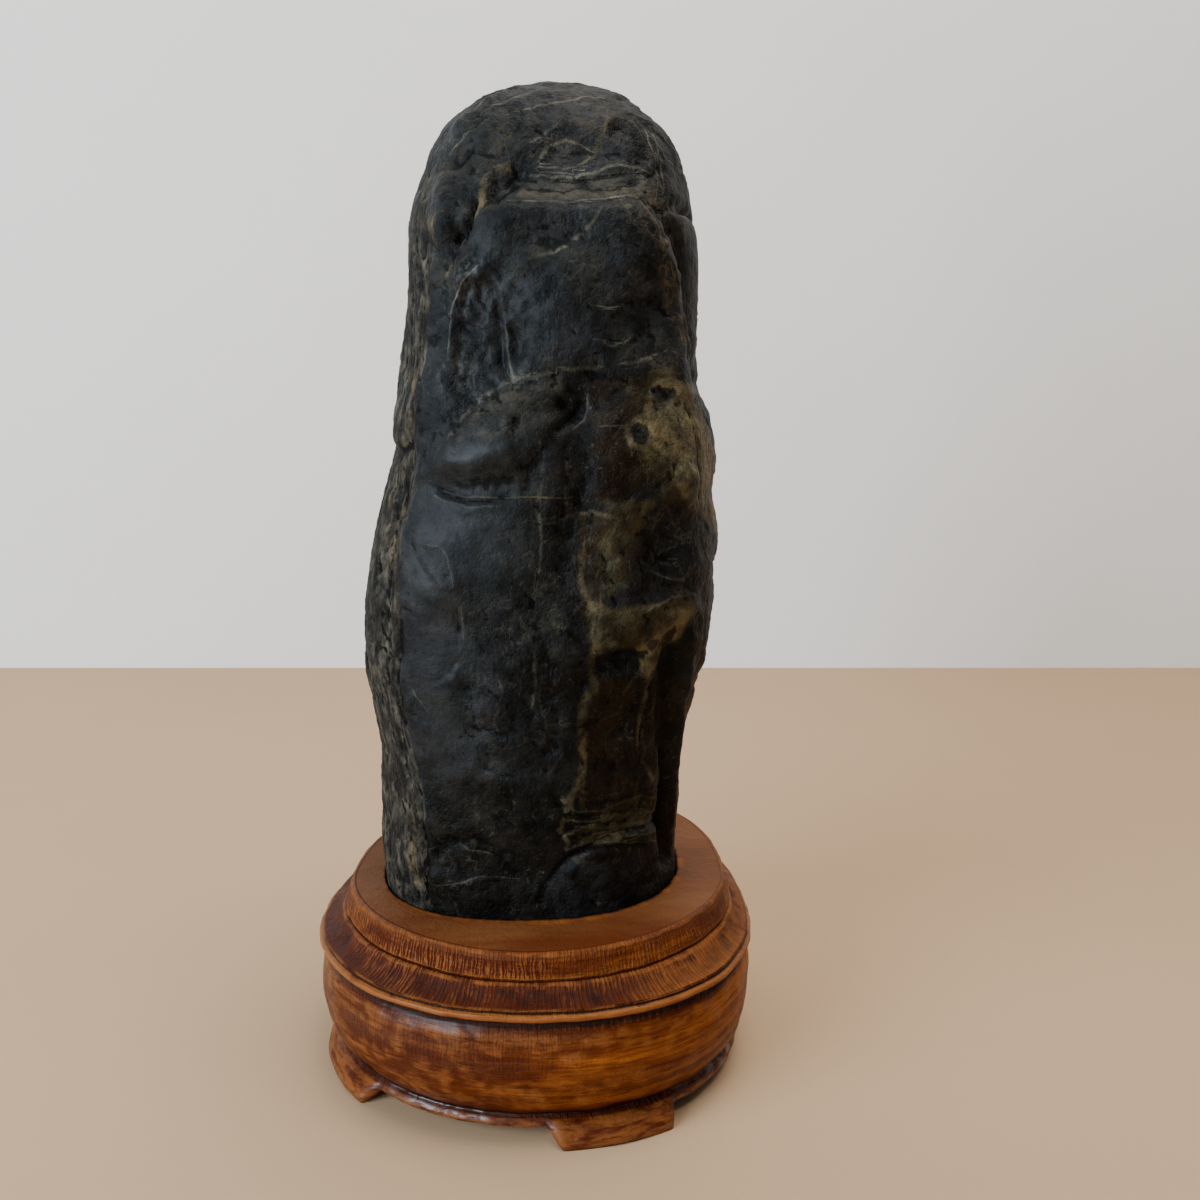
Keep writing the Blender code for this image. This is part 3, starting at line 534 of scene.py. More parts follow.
def fineRelief(azimuth, height, points, fields):
    reach = fineSkin["wander"][1]
    sideways = reach * noiseAt(points, fineSkin["wander"][0])
    upwards = reach * noiseAt(points + 40.0, fineSkin["wander"][0])
    bentAzimuth = azimuth + sideways / unrollRadius * 180 / math.pi
    bentHeight = height + upwards
    relief = np.zeros(len(azimuth))
    for depth, halfWidth, route in fineGrooves.values():
        relief -= depth * np.exp(-((routeGap(bentAzimuth, bentHeight, route) / halfWidth) ** 2))
    hollow, bark, polish = fields["hollow"], fields["bark"], fields["polish"]
    clouds = smoothStep(-0.3, 0.4, noiseAt(points, fineSkin["roughClouds"]))
    rough = (1.0 - 0.8 * polish) * (0.5 + 0.5 * clouds)
    warps = [noiseAt(points + shift, fineSkin["warpSize"]) for shift in fineSkin["warpShifts"]]
    warp = np.stack(warps, axis=-1)
    size, rise = fineSkin["chips"]
    relief += rise * rough * (1.0 - 0.7 * bark) * chipsAt(points + 2.4 * warp, size)
    size, rise = fineSkin["smallChips"]
    chipped = np.maximum(rough * 0.5, hollow * 2.0) * (1.0 - 0.6 * bark)
    relief += rise * chipped * chipsAt(points + 1.2 * warp, size)
    relief += fineSkin["pebble"][1] * rough * noiseAt(points, fineSkin["pebble"][0], octaves=3)
    relief += fineSkin["grain"][1] * (1.0 - 0.5 * polish) * noiseAt(points, fineSkin["grain"][0], octaves=2)
    relief -= fineSkin["hollowPits"][1] * hollow * pitsAt(points + warp, fineSkin["hollowPits"][0])
    size, rise = fineSkin["barkFibre"]
    fibres = noiseAt(points + 2.0 * warp, size, stretch=(1.0, 1.0, 3.0), octaves=3)
    relief += rise * bark * (0.35 - np.abs(fibres)) * 1.4
    relief -= fineSkin["barkPits"][1] * bark * pitsAt(points, fineSkin["barkPits"][0])
    return relief * smoothStep(*stoneForm["fineCalmBelow"], height)


def stoneFields(azimuth, height, points):
    fields = {}
    wobble = 1.2 * noiseAt(points, 6.0, octaves=2)
    for field, strength, edge, outline in stoneStains.values():
        here = strength * smoothStep(-edge / 2, edge / 2, depthInside(azimuth, height, outline) + wobble)
        fields[field] = np.maximum(fields.get(field, 0.0), here)
    # the back, which is invented, has the same mixture in large clouds
    back = smoothStep(96.0, 122.0, np.abs(azimuth))
    for field, shift, strength in (("bark", 0.0, 0.8), ("olive", 60.0, 0.7), ("umber", 120.0, 0.8),
                                   ("dust", 180.0, 0.4), ("straw", 75.0, 0.5)):
        cloud = smoothStep(0.02, 0.32, noiseAt(points + shift, 34.0, octaves=2))
        fields[field] = np.maximum(fields[field], strength * back * cloud)
    return fields


# thin veins: half width in millimetres, route
paleVeins = {
    "domeArc": (0.3, [(-12, 212), (0, 214), (18, 217), (32, 217)]),
    "domeLeftA": (0.3, [(-40, 202), (-35, 206), (-27, 212), (-21, 216), (-11, 219)]),
    "domeLeftB": (0.25, [(-37, 205), (-32, 211), (-22, 215)]),
    "shortBright": (0.3, [(-4, 205), (1, 208)]),
    "ovalArc": (0.4, [(-1, 201.4), (0, 204), (5, 205.4), (11, 204.8), (15, 202.5)]),
    "ovalFoot": (0.3, [(-1, 199), (5, 197.9), (11, 199.3), (15, 201)]),
    "terraceUpper": (0.3, [
        (-8, 198), (-4, 197.2), (1, 196.2), (7, 196.2), (14, 197.2), (26, 198.6), (41, 197)]),
    "terraceLower": (0.22, [(-10, 189.7), (-4, 189.3), (7, 189.3), (13, 189.3), (22, 190.4), (29, 190.8)]),
    "stripA": (0.35, [(54, 209.4), (51, 204.8), (50, 200), (49, 194.7), (48, 191)]),
    "stripB": (0.3, [(48, 209.4), (46, 205.8), (47, 201), (46, 196.5), (44, 190.8)]),
    "stripC": (0.25, [(52, 204.8), (57, 202.8), (69, 199.7)]),
    "stripD": (0.4, [
        (34, 189.3), (38, 186.4), (42, 182.4), (47, 179), (51, 175.8), (55, 172), (58, 167), (60, 159)]),
    "stripE": (0.3, [(40, 189.3), (44, 186), (49, 181.7), (52, 178.4), (56, 172.5)]),
    "upperArc": (0.5, [(-3, 175.4), (2, 177), (5, 178), (8, 179.8), (12, 182.4), (16, 185.7)]),
    "hollowRim": (0.25, [(-20, 173), (-25, 170.5), (-29.5, 166), (-31.5, 160), (-31, 152)]),
    "scar": (0.35, [(-10, 158), (-9, 154), (-8, 151), (-6, 146)]),
    "lobeArc": (0.7, [(-25, 133), (-22, 137), (-18, 140), (-13, 143), (-8, 145.8), (-3, 147), (1, 147.3)]),
    "markA": (0.5, [(6, 148.7), (11, 148.7), (17, 148.7)]),
    "markB": (0.5, [(27, 149.8), (33, 150.2), (40, 151.6)]),
    "markC": (0.15, [(15, 155), (21, 155), (26, 155), (29, 156)]),
    "crescentRim": (0.25, [(13.6, 142), (13.8, 139), (12, 136), (9, 134.4)]),
    "foldLip": (0.3, [(-30, 117), (-26, 115.6), (-21, 114.5), (-17, 114), (-13, 114.8), (-9, 115)]),
    "leaf": (0.14, [(-29, 105), (-24, 104.8), (-21, 102), (-19, 98), (-18, 94.6)]),
    "rowB": (0.14, [(14, 164.1), (19, 163), (24, 163.3)]),
    "rowC": (0.14, [(17, 154.9), (22, 153.8), (27, 154.6), (30, 156.4)]),
    "centre": (0.28, [(0, 130), (0, 123), (0, 114), (1, 107), (1, 88), (1, 72), (1, 56)]),
    "centreRight": (0.28, [(6, 125.5), (6, 120.4), (6, 116.8)]),
    "longPitEdge": (0.25, [(-15.3, 88), (-15, 85), (-15, 81)]),
    "markE": (0.4, [(-1, 85.5), (0, 83.3), (0, 79.3)]),
    "markG": (0.3, [(6, 43.5), (7, 45.3), (9, 48.6)]),
    "lowLeft": (0.25, [(-33, 66), (-28, 60)]),
    "lensTop": (0.2, [(-32, 19.4), (-21, 22.7), (-14, 20.5), (-8, 19)]),
    "lensLow": (0.2, [(-32, 9.9), (-25, 9.9), (-17, 10.7), (-11, 12.8), (-5, 12.8), (-1, 12)]),
    "barkLine": (0.35, [
        (-38, 84.4), (-37, 77.4), (-39, 68.7), (-39, 56.3), (-37, 46), (-34, 37.7), (-32, 29)]),
    "hair": (0.25, [(17, 134.3), (20, 134), (25, 134.3)]),
    "eyeRing": (0.5, [
        (36, 140.4), (37, 143.3), (41, 145), (46, 145.5), (52, 144.4), (54, 142), (52, 139.7)]),
    "eyeLowRim": (0.5, [(26, 128.5), (25, 131.7), (25, 134.3), (29, 136.5), (34, 137.2)]),
    "slabLine": (0.35, [(33, 98.6), (36, 97.2), (42, 95.4), (50, 93.5), (53, 96.8)]),
    "patchTop": (0.4, [(33, 87.7), (38, 88.8), (43, 89.9), (52, 89.9), (56, 88.8)]),
    "gutter": (0.3, [(55, 38), (59, 30.8), (61, 22.7), (60, 15.8), (58, 10.7)]),
    "facet": (0.4, [(5, 6), (7, 10.3), (11, 14.3), (15, 17.6), (20, 19)]),
    "lowRight": (0.25, [(44, 17), (46, 11), (53, 4)]),
    "backA": (0.4, [(120, 206), (134, 190), (150, 176), (158, 150), (170, 132)]),
    "backB": (0.35, [(150, 100), (166, 90), (172, 70), (186, 62)]),
    "backC": (0.4, [(-100, 196), (-120, 180), (-136, 160), (-150, 128)]),
    "sideA": (0.35, [(82, 130), (92, 112), (100, 84), (98, 60)]),
    "sideB": (0.3, [(76, 206), (88, 190), (98, 172)]),
}

ochreVeins = {
    "dropVein": (1.2, [
        (17.5, 89), (17.5, 82), (17.5, 74.7), (18, 68), (15, 61.5), (15, 55), (16.5, 47.5), (16, 40)]),
    "dropFoot": (0.8, [(16, 40), (14, 36.5), (12, 31), (11, 27), (14, 23)]),
    "dropUpper": (0.7, [(16, 88), (13, 94), (13, 103)]),
    "gutterVein": (0.8, [(41, 69), (40, 62), (39, 55), (39, 48)]),
    "gutterSpots": (0.7, [(44, 41), (48, 37)]),
    "brownDome": (0.8, [(26, 211), (23, 208), (20, 204.5), (17, 203), (15, 201.4), (13, 200)]),
    "ledgeLip": (0.35, [(29, 190.8), (34, 190), (44, 189.7), (62, 188.9)]),
    "webA": (0.45, [(25, 196.2), (29, 193.6), (34, 189.3), (39, 185.3), (46, 179.8)]),
    "webB": (0.4, [(34, 189.3), (40, 181.3), (48, 172.5), (56, 164.4), (62, 156)]),
    "webC": (0.3, [(41, 186), (48, 178), (54, 170), (60, 160)]),
    "foldRed": (0.22, [(-24, 117.3), (-17, 116.6), (-12, 116.6), (0, 117), (8, 117)]),
    "marks": (0.6, [(8, 111.7), (11, 112.4), (15, 113.2), (20, 112.1)]),
    "fanA": (0.35, [(15, 20.5), (21, 22.4), (29, 23.5), (41, 22.4), (58, 19.8)]),
    "fanB": (0.45, [(14, 24.9), (19, 26.8), (29, 25.6), (45, 25), (57, 23.1)]),
    "fanC": (0.4, [(13, 29.6), (22, 28.4), (32, 28.4), (44, 27.9), (56, 26)]),
    "fanD": (0.35, [(11, 35.2), (16, 31.9), (25, 31.1), (33, 32.2), (42, 33), (52, 31.4)]),
    "fanE": (0.25, [(24, 21.6), (33, 21.6), (46, 19.1), (57, 16.5)]),
    "crownVein": (0.5, [(40, 200), (45, 196), (50, 190)]),
    "backA": (0.8, [(140, 180), (146, 150), (138, 120), (142, 90)]),
    "backB": (0.7, [(-160, 150), (-150, 120), (-156, 84), (-146, 50)]),
    "sideA": (0.8, [(-90, 150), (-84, 110), (-92, 70), (-86, 30)]),
}


def nearestVein(azimuth, height, veins):
    # signed distance to the nearest vein, counted in that vein's own half widths
    nearest = np.full(len(azimuth), 6.0)
    for halfWidth, route in veins.values():
        gap = signedGap(azimuth, height, route) / halfWidth
        nearest = np.where(np.abs(gap) < np.abs(nearest), gap, nearest)
    return nearest


def buildStone():
    bm = bmesh.new()
    bmesh.ops.create_uvsphere(bm, u_segments=stoneForm["columns"], v_segments=stoneForm["rings"], radius=1.0)
    sphere = np.array([v.co for v in bm.verts])
    turn = np.arctan2(sphere[:, 1], sphere[:, 0]) + math.pi / 2
    turn = (turn + math.pi) % math.tau - math.pi
    azimuth = np.degrees(turn) - stoneForm["frontFiner"] * np.sin(turn)
    share = np.interp(np.arcsin(np.clip(sphere[:, 2], -1.0, 1.0)) / math.pi + 0.5, *stoneForm["ringShares"])
    along = share * stoneKnots()[-1]
    points = stoneBase(azimuth, along)
    normals = stoneNormals(azimuth, along)
    height = points[:, 2].copy()
    fields = stoneFields(azimuth, height, points)
    relief = largeRelief(azimuth, height, points) + fineRelief(azimuth, height, points, fields)
    moveVertices(bm, toScene(points + normals * relief[:, None]))
    bmesh.ops.recalc_face_normals(bm, faces=bm.faces)
    wobble = 0.7 * noiseAt(points, 8.0, octaves=2)
    pale = nearestVein(azimuth + wobble, height + wobble, paleVeins)
    ochre = nearestVein(azimuth + 1.4 * wobble, height - wobble, ochreVeins)
    masks = {
        "crest": crestOf(bm, passes=5, span=0.12),
        "swell": crestOf(bm, passes=40, span=0.7),
        "paleVein": pale,
        "paleReach": np.abs(pale),
        "paleShare": 0.30 + 0.42 * smoothStep(120.0, 175.0, height) + 0.2 * smoothStep(14.0, 24.0, azimuth),
        "ochreVein": ochre,
        "ochreReach": np.abs(ochre),
        "faceUp": np.clip([v.normal.z for v in bm.verts], 0.0, 1.0),
        **fields,
    }
    piece = addPiece("stone_surface", bm, masks)
    print("stone:", len(piece.data.polygons), "faces")
    return piece


standForm = {
    "rimHalfWidth": 55.9,
    "recessDepth": 10.3,
    "recessMiddle": (-2.3, 8.3),
    "innerUnderside": (-34.0, 5.0),  # millimetres outside the plan, height
    "steps": 480,
    # height, left, right, front and back reach, then the roundness of front left, front right,
    # back left and back right
    "plans": [
        (0.0, 57.5, 57.0, 52.2, 68.6, 1.97, 2.20, 2.2, 2.5),
        (8.0, 57.5, 57.0, 52.2, 68.6, 1.97, 2.15, 2.2, 2.5),
        (20.0, 57.0, 55.2, 52.2, 69.0, 2.05, 2.30, 2.2, 2.5),
        (40.6, 57.0, 55.2, 52.2, 69.0, 2.05, 2.30, 2.2, 2.5),
        (45.0, 56.4, 56.1, 52.1, 69.4, 1.92, 1.98, 2.2, 2.4),
        (52.5, 55.9, 55.9, 52.0, 69.6, 1.88, 1.90, 2.2, 2.35)],
    "feet": [(-69.0, 21.5, 0.2), (21.0, 16.0, 0.8), (114.0, 17.0, 0.8), (-160.0, 16.0, 0.0)],
    "footEdge": 4.5,
    "handWobble": (12.0, 0.42),
    "knifeWobble": (4.5, 0.16),
}

# the section from the top's edge down, one smooth curve after another: name, rows, points as
# (millimetres outside the plan, height)
standCurves = [
    ("rim", 7, [(-1.6, 52.5), (-0.6, 52.3), (-0.1, 51.8), (0.05, 51.0)]),
    ("band", 9, [(0.05, 51.0), (0.5, 48.5), (1.1, 45.8)]),
    ("bandFoot", 3, [(1.1, 45.8), (0.9, 45.2), (0.4, 45.0)]),
    ("step", 4, [(0.4, 45.0), (1.2, 44.9), (1.8, 44.5)]),
    ("cove", 12, [(1.8, 44.5), (2.2, 43.6), (3.3, 42.2), (5.0, 41.1), (6.6, 40.6)]),
    ("coveEdge", 4, [(6.6, 40.6), (7.0, 40.4), (7.0, 40.1), (6.6, 39.8)]),
    ("beadTop", 3, [(6.6, 39.8), (6.9, 39.5), (7.6, 39.4)]),
    ("bead", 8, [(7.6, 39.4), (8.1, 38.9), (8.15, 38.3), (7.8, 37.7), (6.8, 37.3)]),
    ("neck", 6, [(6.8, 37.3), (5.9, 36.8), (5.5, 36.0), (5.7, 35.0)]),
    ("belly", 26, [(5.7, 35.0), (6.8, 32.6), (7.4, 29.5), (7.5, 24.5), (7.1, 19.5), (6.0, 15.2),
                   (4.2, 11.4), (2.3, 8.8), (1.2, 7.5)]),
]
lipBetween = [("crease", 4, [(1.2, 7.5), (1.1, 7.0), (1.5, 6.6)]),
              ("lip", 8, [(1.5, 6.6), (2.2, 5.9), (2.6, 5.0), (2.6, 4.4), (2.1, 4.0)]),
              ("under", 6, [(2.1, 4.0), (-3.5, 4.0), (-9.5, 4.0)]),
              ("underEdge", 4, [(-9.5, 4.0), (-10.5, 4.3), (-12.0, 5.0)])]
lipAtFoot = [("crease", 4, [(1.2, 7.5), (1.2, 7.1), (1.9, 6.6)]),
             ("lip", 8, [(1.9, 6.6), (3.8, 5.3), (5.8, 3.2), (6.6, 1.1), (6.2, 0.0)]),
             ("under", 6, [(6.2, 0.0), (-2.0, 0.0), (-10.5, 0.0)]),
             ("underEdge", 4, [(-10.5, 0.0), (-11.5, 2.5), (-12.0, 5.0)])]
topRows = [0.0, 0.05, 0.12, 0.22, 0.34, 0.46, 0.58, 0.7, 0.8, 0.88, 0.94, 0.975, 1.0]  # recess edge to rim


def sectionRows(curves):
    rows = []
    for name, count, points in curves:
        points = np.array(points, float)
        knots = np.concatenate([[0.0], np.cumsum(np.hypot(*np.diff(points, axis=0).T))])
        for offset, height in spline(knots, points, np.linspace(0.0, knots[-1], count + 1)[1:]):
            rows.append((name, offset, height))
    return rows


def planOutline(angle, height):
    heights, *columns = np.array(standForm["plans"]).T
    columns = [np.interp(height, heights, column) for column in columns]
    left, right, front, back, frontLeft, frontRight, backLeft, backRight = columns

    def outlineAt(turn):
        inFront, atLeft = np.sin(turn) < 0, np.cos(turn) < 0
        leftCorner = np.where(inFront, frontLeft, backLeft)
        rightCorner = np.where(inFront, frontRight, backRight)
        corner = np.where(atLeft, leftCorner, rightCorner)
        sides = superellipse(turn, np.where(atLeft, left, right), np.where(inFront, front, back), corner)
        return np.stack(sides, axis=-1)

    small = 0.02
    along = outlineAt(angle + small) - outlineAt(angle - small)
    outward = np.stack([along[:, 1], -along[:, 0]], axis=-1)
    return outlineAt(angle), outward / np.linalg.norm(outward, axis=1, keepdims=True)


def footShare(azimuth):
    share, flare = np.zeros(len(azimuth)), np.zeros(len(azimuth))
    edge = standForm["footEdge"] / 2
    for middle, halfAngle, more in standForm["feet"]:
        here = 1.0 - smoothStep(halfAngle - edge, halfAngle + edge, np.abs(wrapped(azimuth - middle)))
        share += here
        flare += here * more
    return share, flare


def recessOutline(angle):
    form = np.array(stoneForm["stations"], float)
    atTop = float(stoneKnots()[int(np.flatnonzero(form[:, 0] == 0)[0])])
    azimuth = np.degrees(angle) + 90.0
    along = np.full(len(angle), atTop)
    outward = stoneNormals(azimuth, along) * [1.0, 1.0, 0.0]
    return (stoneBase(azimuth, along) + outward * stoneForm["fitGap"])[:, :2]


def buildStand():
    outer = sectionRows(standCurves + lipBetween)
    atFoot = sectionRows(standCurves + lipAtFoot)
    depth = -standForm["recessDepth"]
    inner = [("recessFloor", 0.0, depth), ("recessFloor", 0.6, depth), ("recessWall", 1.0, depth),
             ("recessWall", 1.0, depth / 2), ("recessWall", 1.0, -0.6)]
    names = [n for n, _, _ in inner] + ["top"] * len(topRows) + [n for n, _, _ in outer] + ["under"] * 2
    bm = bmesh.new()
    row = bm.verts.layers.int.new("row")
    chain = []
    for i in range(len(names)):
        vertex = bm.verts.new((i * 0.4, 0.0, -0.1 * i))  # a plain slope, set to the real section below
        vertex[row] = i
        chain.append(vertex)
    edges = [bm.edges.new(pair) for pair in zip(chain, chain[1:])]
    bmesh.ops.spin(bm, geom=chain + edges, angle=math.tau, steps=standForm["steps"], axis=(0.0, 0.0, 1.0),
                   cent=(0.0, 0.0, 0.0), use_merge=True)
    bmesh.ops.remove_doubles(bm, verts=bm.verts, dist=0.0001)
    rows = np.array([v[row] for v in bm.verts])
    angle = np.array([math.atan2(v.co.y, v.co.x) for v in bm.verts])
    last = len(names) - 1
    under = rows == last
    firstTop, firstOuter = len(inner), len(inner) + len(topRows)
    section = {True: np.zeros((len(names), 2)), False: np.zeros((len(names), 2))}
    for isFoot, chosen in ((False, outer), (True, atFoot)):
        for i, (_, offset, height) in enumerate(chosen):
            section[isFoot][firstOuter + i] = (offset, height)
        section[isFoot][last - 1] = standForm["innerUnderside"]
        section[isFoot][last] = (-standForm["rimHalfWidth"], 5.0)
    share, flare = footShare(np.degrees(angle) + 90.0)
    share = share[:, None]
    place = section[False][rows] * (1 - share) + section[True][rows] * share
    creaseEnd = firstOuter + sum(count for _, count, _ in standCurves) + lipAtFoot[0][1] - 1
    offset = place[:, 0] + flare * (place[:, 0] > 0) * (rows > creaseEnd)
    level = place[:, 1]
    recess = recessOutline(angle)
    rimOffset = standCurves[0][2][0][0]
    isOuter = rows >= firstOuter
    isTop = (rows >= firstTop) & ~isOuter
    level = np.where(isTop, standHeight, level)
    offset = np.where(isTop, rimOffset, offset)
    outline, outward = planOutline(angle, level)
    inward = np.clip(1.0 + offset / standForm["rimHalfWidth"], 0.0, 1.0)
    plan = outline * inward[:, None] + outward * np.maximum(offset, 0.0)[:, None]
    topShare = np.interp(rows, np.arange(firstTop, firstOuter), topRows)[:, None]
    plan = np.where(isTop[:, None], recess * (1 - topShare) + plan * topShare, plan)
    innerShare = np.interp(rows, np.arange(len(inner)), [s for _, s, _ in inner])[:, None]
    centre = np.array(standForm["recessMiddle"])
    isInner = rows < firstTop
    plan = np.where(isInner[:, None], centre + (recess - centre) * innerShare, plan)
    innerLevel = standHeight + np.interp(rows, np.arange(len(inner)), [h for _, _, h in inner])
    level = np.where(isInner, innerLevel, level)
    points = np.column_stack([plan, level - standHeight])
    size, swing = standForm["handWobble"]
    free = (isOuter & (level > 0.6) & ~under) * smoothStep(0.0, 0.8, np.abs(standHeight - level))
    wobble = swing * noiseAt(points, size, octaves=2) * free
    size, swing = standForm["knifeWobble"]
    wobble += swing * noiseAt(points, size, octaves=2) * free
    points[:, :2] += outward * wobble[:, None]
    points[:, 2] += 0.25 * noiseAt(points + 90.0, 11.0) * free * (level < 50.0) * (level > 7.0)
    moveVertices(bm, toScene(points))
    bmesh.ops.recalc_face_normals(bm, faces=bm.faces)
    rowNames = np.array(names)[rows]

    def rowMask(*wanted):
        return np.isin(rowNames, wanted).astype(float)

    far = 20.0
    fromRecess = np.where(isTop | isInner, np.hypot(*(plan - recess).T), far)
    masks = {
        "crest": crestOf(bm, passes=8, span=0.25),
        "topFace": np.maximum(rowMask("top"), rowMask("rim") * 0.5),
        "band": rowMask("band", "rim"),
        "cove": rowMask("cove", "step"),
        "groove": rowMask("bandFoot", "coveEdge", "beadTop", "neck", "crease"),
        "bead": rowMask("bead", "beadTop"),
        "belly": rowMask("belly", "neck"),
        "lip": rowMask("lip", "crease"),
        "footSlope": rowMask("lip", "crease") * share[:, 0] * smoothStep(1.6, 3.4, level),
        "recessEdge": np.minimum(fromRecess, far),
        "level": level / standHeight,
    }
    piece = addPiece("stand_surface", bm, masks)
    layWrap(piece)
    print("stand:", len(piece.data.polygons), "faces")
    return piece


def layWrap(piece):
    # a UV map that runs round the stand and up it, one unit to 100 mm, for the carver's tool marks
    unitsPerRadian, unitsPerMetre = 0.62, 10.0
    mesh = piece.data
    corners = np.zeros(len(mesh.loops), np.int32)
    mesh.loops.foreach_get("vertex_index", corners)
    starts = np.array([p.loop_start for p in mesh.polygons])
    counts = np.array([p.loop_total for p in mesh.polygons])
    place = np.array([v.co for v in mesh.vertices])
    turn = np.arctan2(place[:, 1], place[:, 0])[corners]
    first = np.repeat(turn[starts], counts)
    turn = first + (turn - first + math.pi) % math.tau - math.pi
    flat = np.column_stack([turn * unitsPerRadian, place[corners, 2] * unitsPerMetre])
    layer = mesh.uv_layers.new(name="wrap")
    layer.data.foreach_set("uv", flat.astype(np.float32).ravel())


def addNode(tree, kind, inputs=(), **settings):
    made = tree.nodes.new(kind)
    for key, value in settings.items():
        setattr(made, key, value)
    for key, value in dict(inputs).items():
        if isinstance(value, bpy.types.NodeSocket):
            tree.links.new(value, made.inputs[key])
        else:
            made.inputs[key].default_value = value
    return made


def calc(tree, operation, a, b=0.0):
    return addNode(tree, "ShaderNodeMath", {0: a, 1: b}, operation=operation).outputs[0]


def mixColour(tree, share, under, over, blend="MIX"):
    made = addNode(tree, "ShaderNodeMix", {0: share, 6: under, 7: over}, data_type="RGBA", blend_type=blend)
    return made.outputs[2]


def ramp(tree, value, low, high, fromZero=0.0, toOne=1.0):
    inputs = {"Value": value, "From Min": low, "From Max": high, "To Min": fromZero, "To Max": toOne}
    return addNode(tree, "ShaderNodeMapRange", inputs, interpolation_type="SMOOTHSTEP").outputs["Result"]


def mask(tree, name):
    return addNode(tree, "ShaderNodeAttribute", attribute_name=name).outputs["Fac"]


def stretched(tree, vector, scale, turn=(0.0, 0.0, 0.0)):
    inputs = {"Vector": vector, "Scale": scale, "Rotation": turn}
    return addNode(tree, "ShaderNodeMapping", inputs).outputs[0]


def noiseNode(tree, vector, scale, detail=4.0, roughness=0.55, distortion=0.0):
    return addNode(tree, "ShaderNodeTexNoise", {
        "Vector": vector, "Scale": scale, "Detail": detail, "Roughness": roughness,
        "Distortion": distortion}).outputs["Fac"]


def newGroup(name, inputs, outputs):
    group = bpy.data.node_groups.new(name, "ShaderNodeTree")
    for label, kind, value in inputs:
        socket = group.interface.new_socket(name=label, in_out="INPUT", socket_type=kind)
        if value is not None:
            socket.default_value = value
    for label, kind in outputs:
        group.interface.new_socket(name=label, in_out="OUTPUT", socket_type=kind)
    return group, group.nodes.new("NodeGroupInput").outputs, group.nodes.new("NodeGroupOutput").inputs


def mottleGroup():
    # cloudy patches: 0 to 1, with the share that is covered set by Cover
    group, given, out = newGroup("mottle", [
        ("Vector", "NodeSocketVector", None), ("Scale", "NodeSocketFloat", 100.0),
        ("Detail", "NodeSocketFloat", 5.0), ("Cover", "NodeSocketFloat", 0.5),
        ("Softness", "NodeSocketFloat", 0.15)], [("Mask", "NodeSocketFloat")])
    cloud = noiseNode(group, given["Vector"], given["Scale"], given["Detail"], 0.6)
    edge = calc(group, "SUBTRACT", 1.0, given["Cover"])
    low = calc(group, "SUBTRACT", edge, given["Softness"])
    high = calc(group, "ADD", edge, given["Softness"])
    group.links.new(ramp(group, cloud, low, high), out["Mask"])
    return group


def veinGroup():
    # a line where Gap is between about -1 and 1 and Reach is small, frayed and broken up along its way
    group, given, out = newGroup("vein line", [
        ("Vector", "NodeSocketVector", None), ("Gap", "NodeSocketFloat", 6.0),
        ("Reach", "NodeSocketFloat", 6.0), ("Fray", "NodeSocketFloat", 0.8),
        ("Breaks", "NodeSocketFloat", 0.5)], [("Mask", "NodeSocketFloat")])
    swing = calc(group, "SUBTRACT", noiseNode(group, given["Vector"], 500.0, 4.0), 0.5)
    fray = calc(group, "MULTIPLY", swing, calc(group, "MULTIPLY", given["Fray"], 4.0))
    gap = calc(group, "ABSOLUTE", calc(group, "ADD", given["Gap"], fray))
    line = calc(group, "MULTIPLY", ramp(group, gap, 1.6, 0.2), ramp(group, given["Reach"], 4.5, 3.0))
    whole = ramp(group, noiseNode(group, given["Vector"], 90.0, 3.0), 0.3, 0.62)
    share = calc(group, "ADD", calc(group, "MULTIPLY", given["Breaks"], whole),
                 calc(group, "SUBTRACT", 1.0, given["Breaks"]))
    group.links.new(calc(group, "MULTIPLY", line, share), out["Mask"])
    return group


def hairGroup():
    # a web of thin curved lines, with the share of the surface that has them set by Cover
    group, given, out = newGroup("hair lines", [
        ("Vector", "NodeSocketVector", None), ("Scale", "NodeSocketFloat", 60.0),
        ("Width", "NodeSocketFloat", 0.012),
        ("Cover", "NodeSocketFloat", 0.5)], [("Mask", "NodeSocketFloat")])
    contour = noiseNode(group, given["Vector"], given["Scale"], 5.0, 0.6, 0.6)
    gap = calc(group, "ABSOLUTE", calc(group, "SUBTRACT", contour, 0.5))
    fall = calc(group, "MINIMUM", calc(group, "DIVIDE", gap, given["Width"]), 1.0)
    line = calc(group, "SUBTRACT", 1.0, fall)
    cloud = noiseNode(group, given["Vector"], calc(group, "MULTIPLY", given["Scale"], 0.8), 4.0, 0.6)
    edge = calc(group, "SUBTRACT", 1.0, given["Cover"])
    here = ramp(group, cloud, calc(group, "SUBTRACT", edge, 0.1), calc(group, "ADD", edge, 0.1))
    group.links.new(calc(group, "MULTIPLY", line, here), out["Mask"])
    return group


def useGroup(tree, group, inputs):
    made = tree.nodes.new("ShaderNodeGroup")
    made.node_tree = group
    for key, value in inputs.items():
        if isinstance(value, bpy.types.NodeSocket):
            tree.links.new(value, made.inputs[key])
        else:
            made.inputs[key].default_value = value
    return made.outputs[0]


def finishTools(tree, mottle, place):
    # a cloudy share and a product of shares, which every finish below is made of
    def cloud(scale, cover, softness=0.12, detail=5.0, vector=place):
        return useGroup(tree, mottle, {"Vector": vector, "Scale": scale, "Detail": detail, "Cover": cover,
                                       "Softness": softness})

    def part(*shares):
        product = shares[0]
        for share in shares[1:]:
            product = calc(tree, "MULTIPLY", product, share)
        return product

    return cloud, part


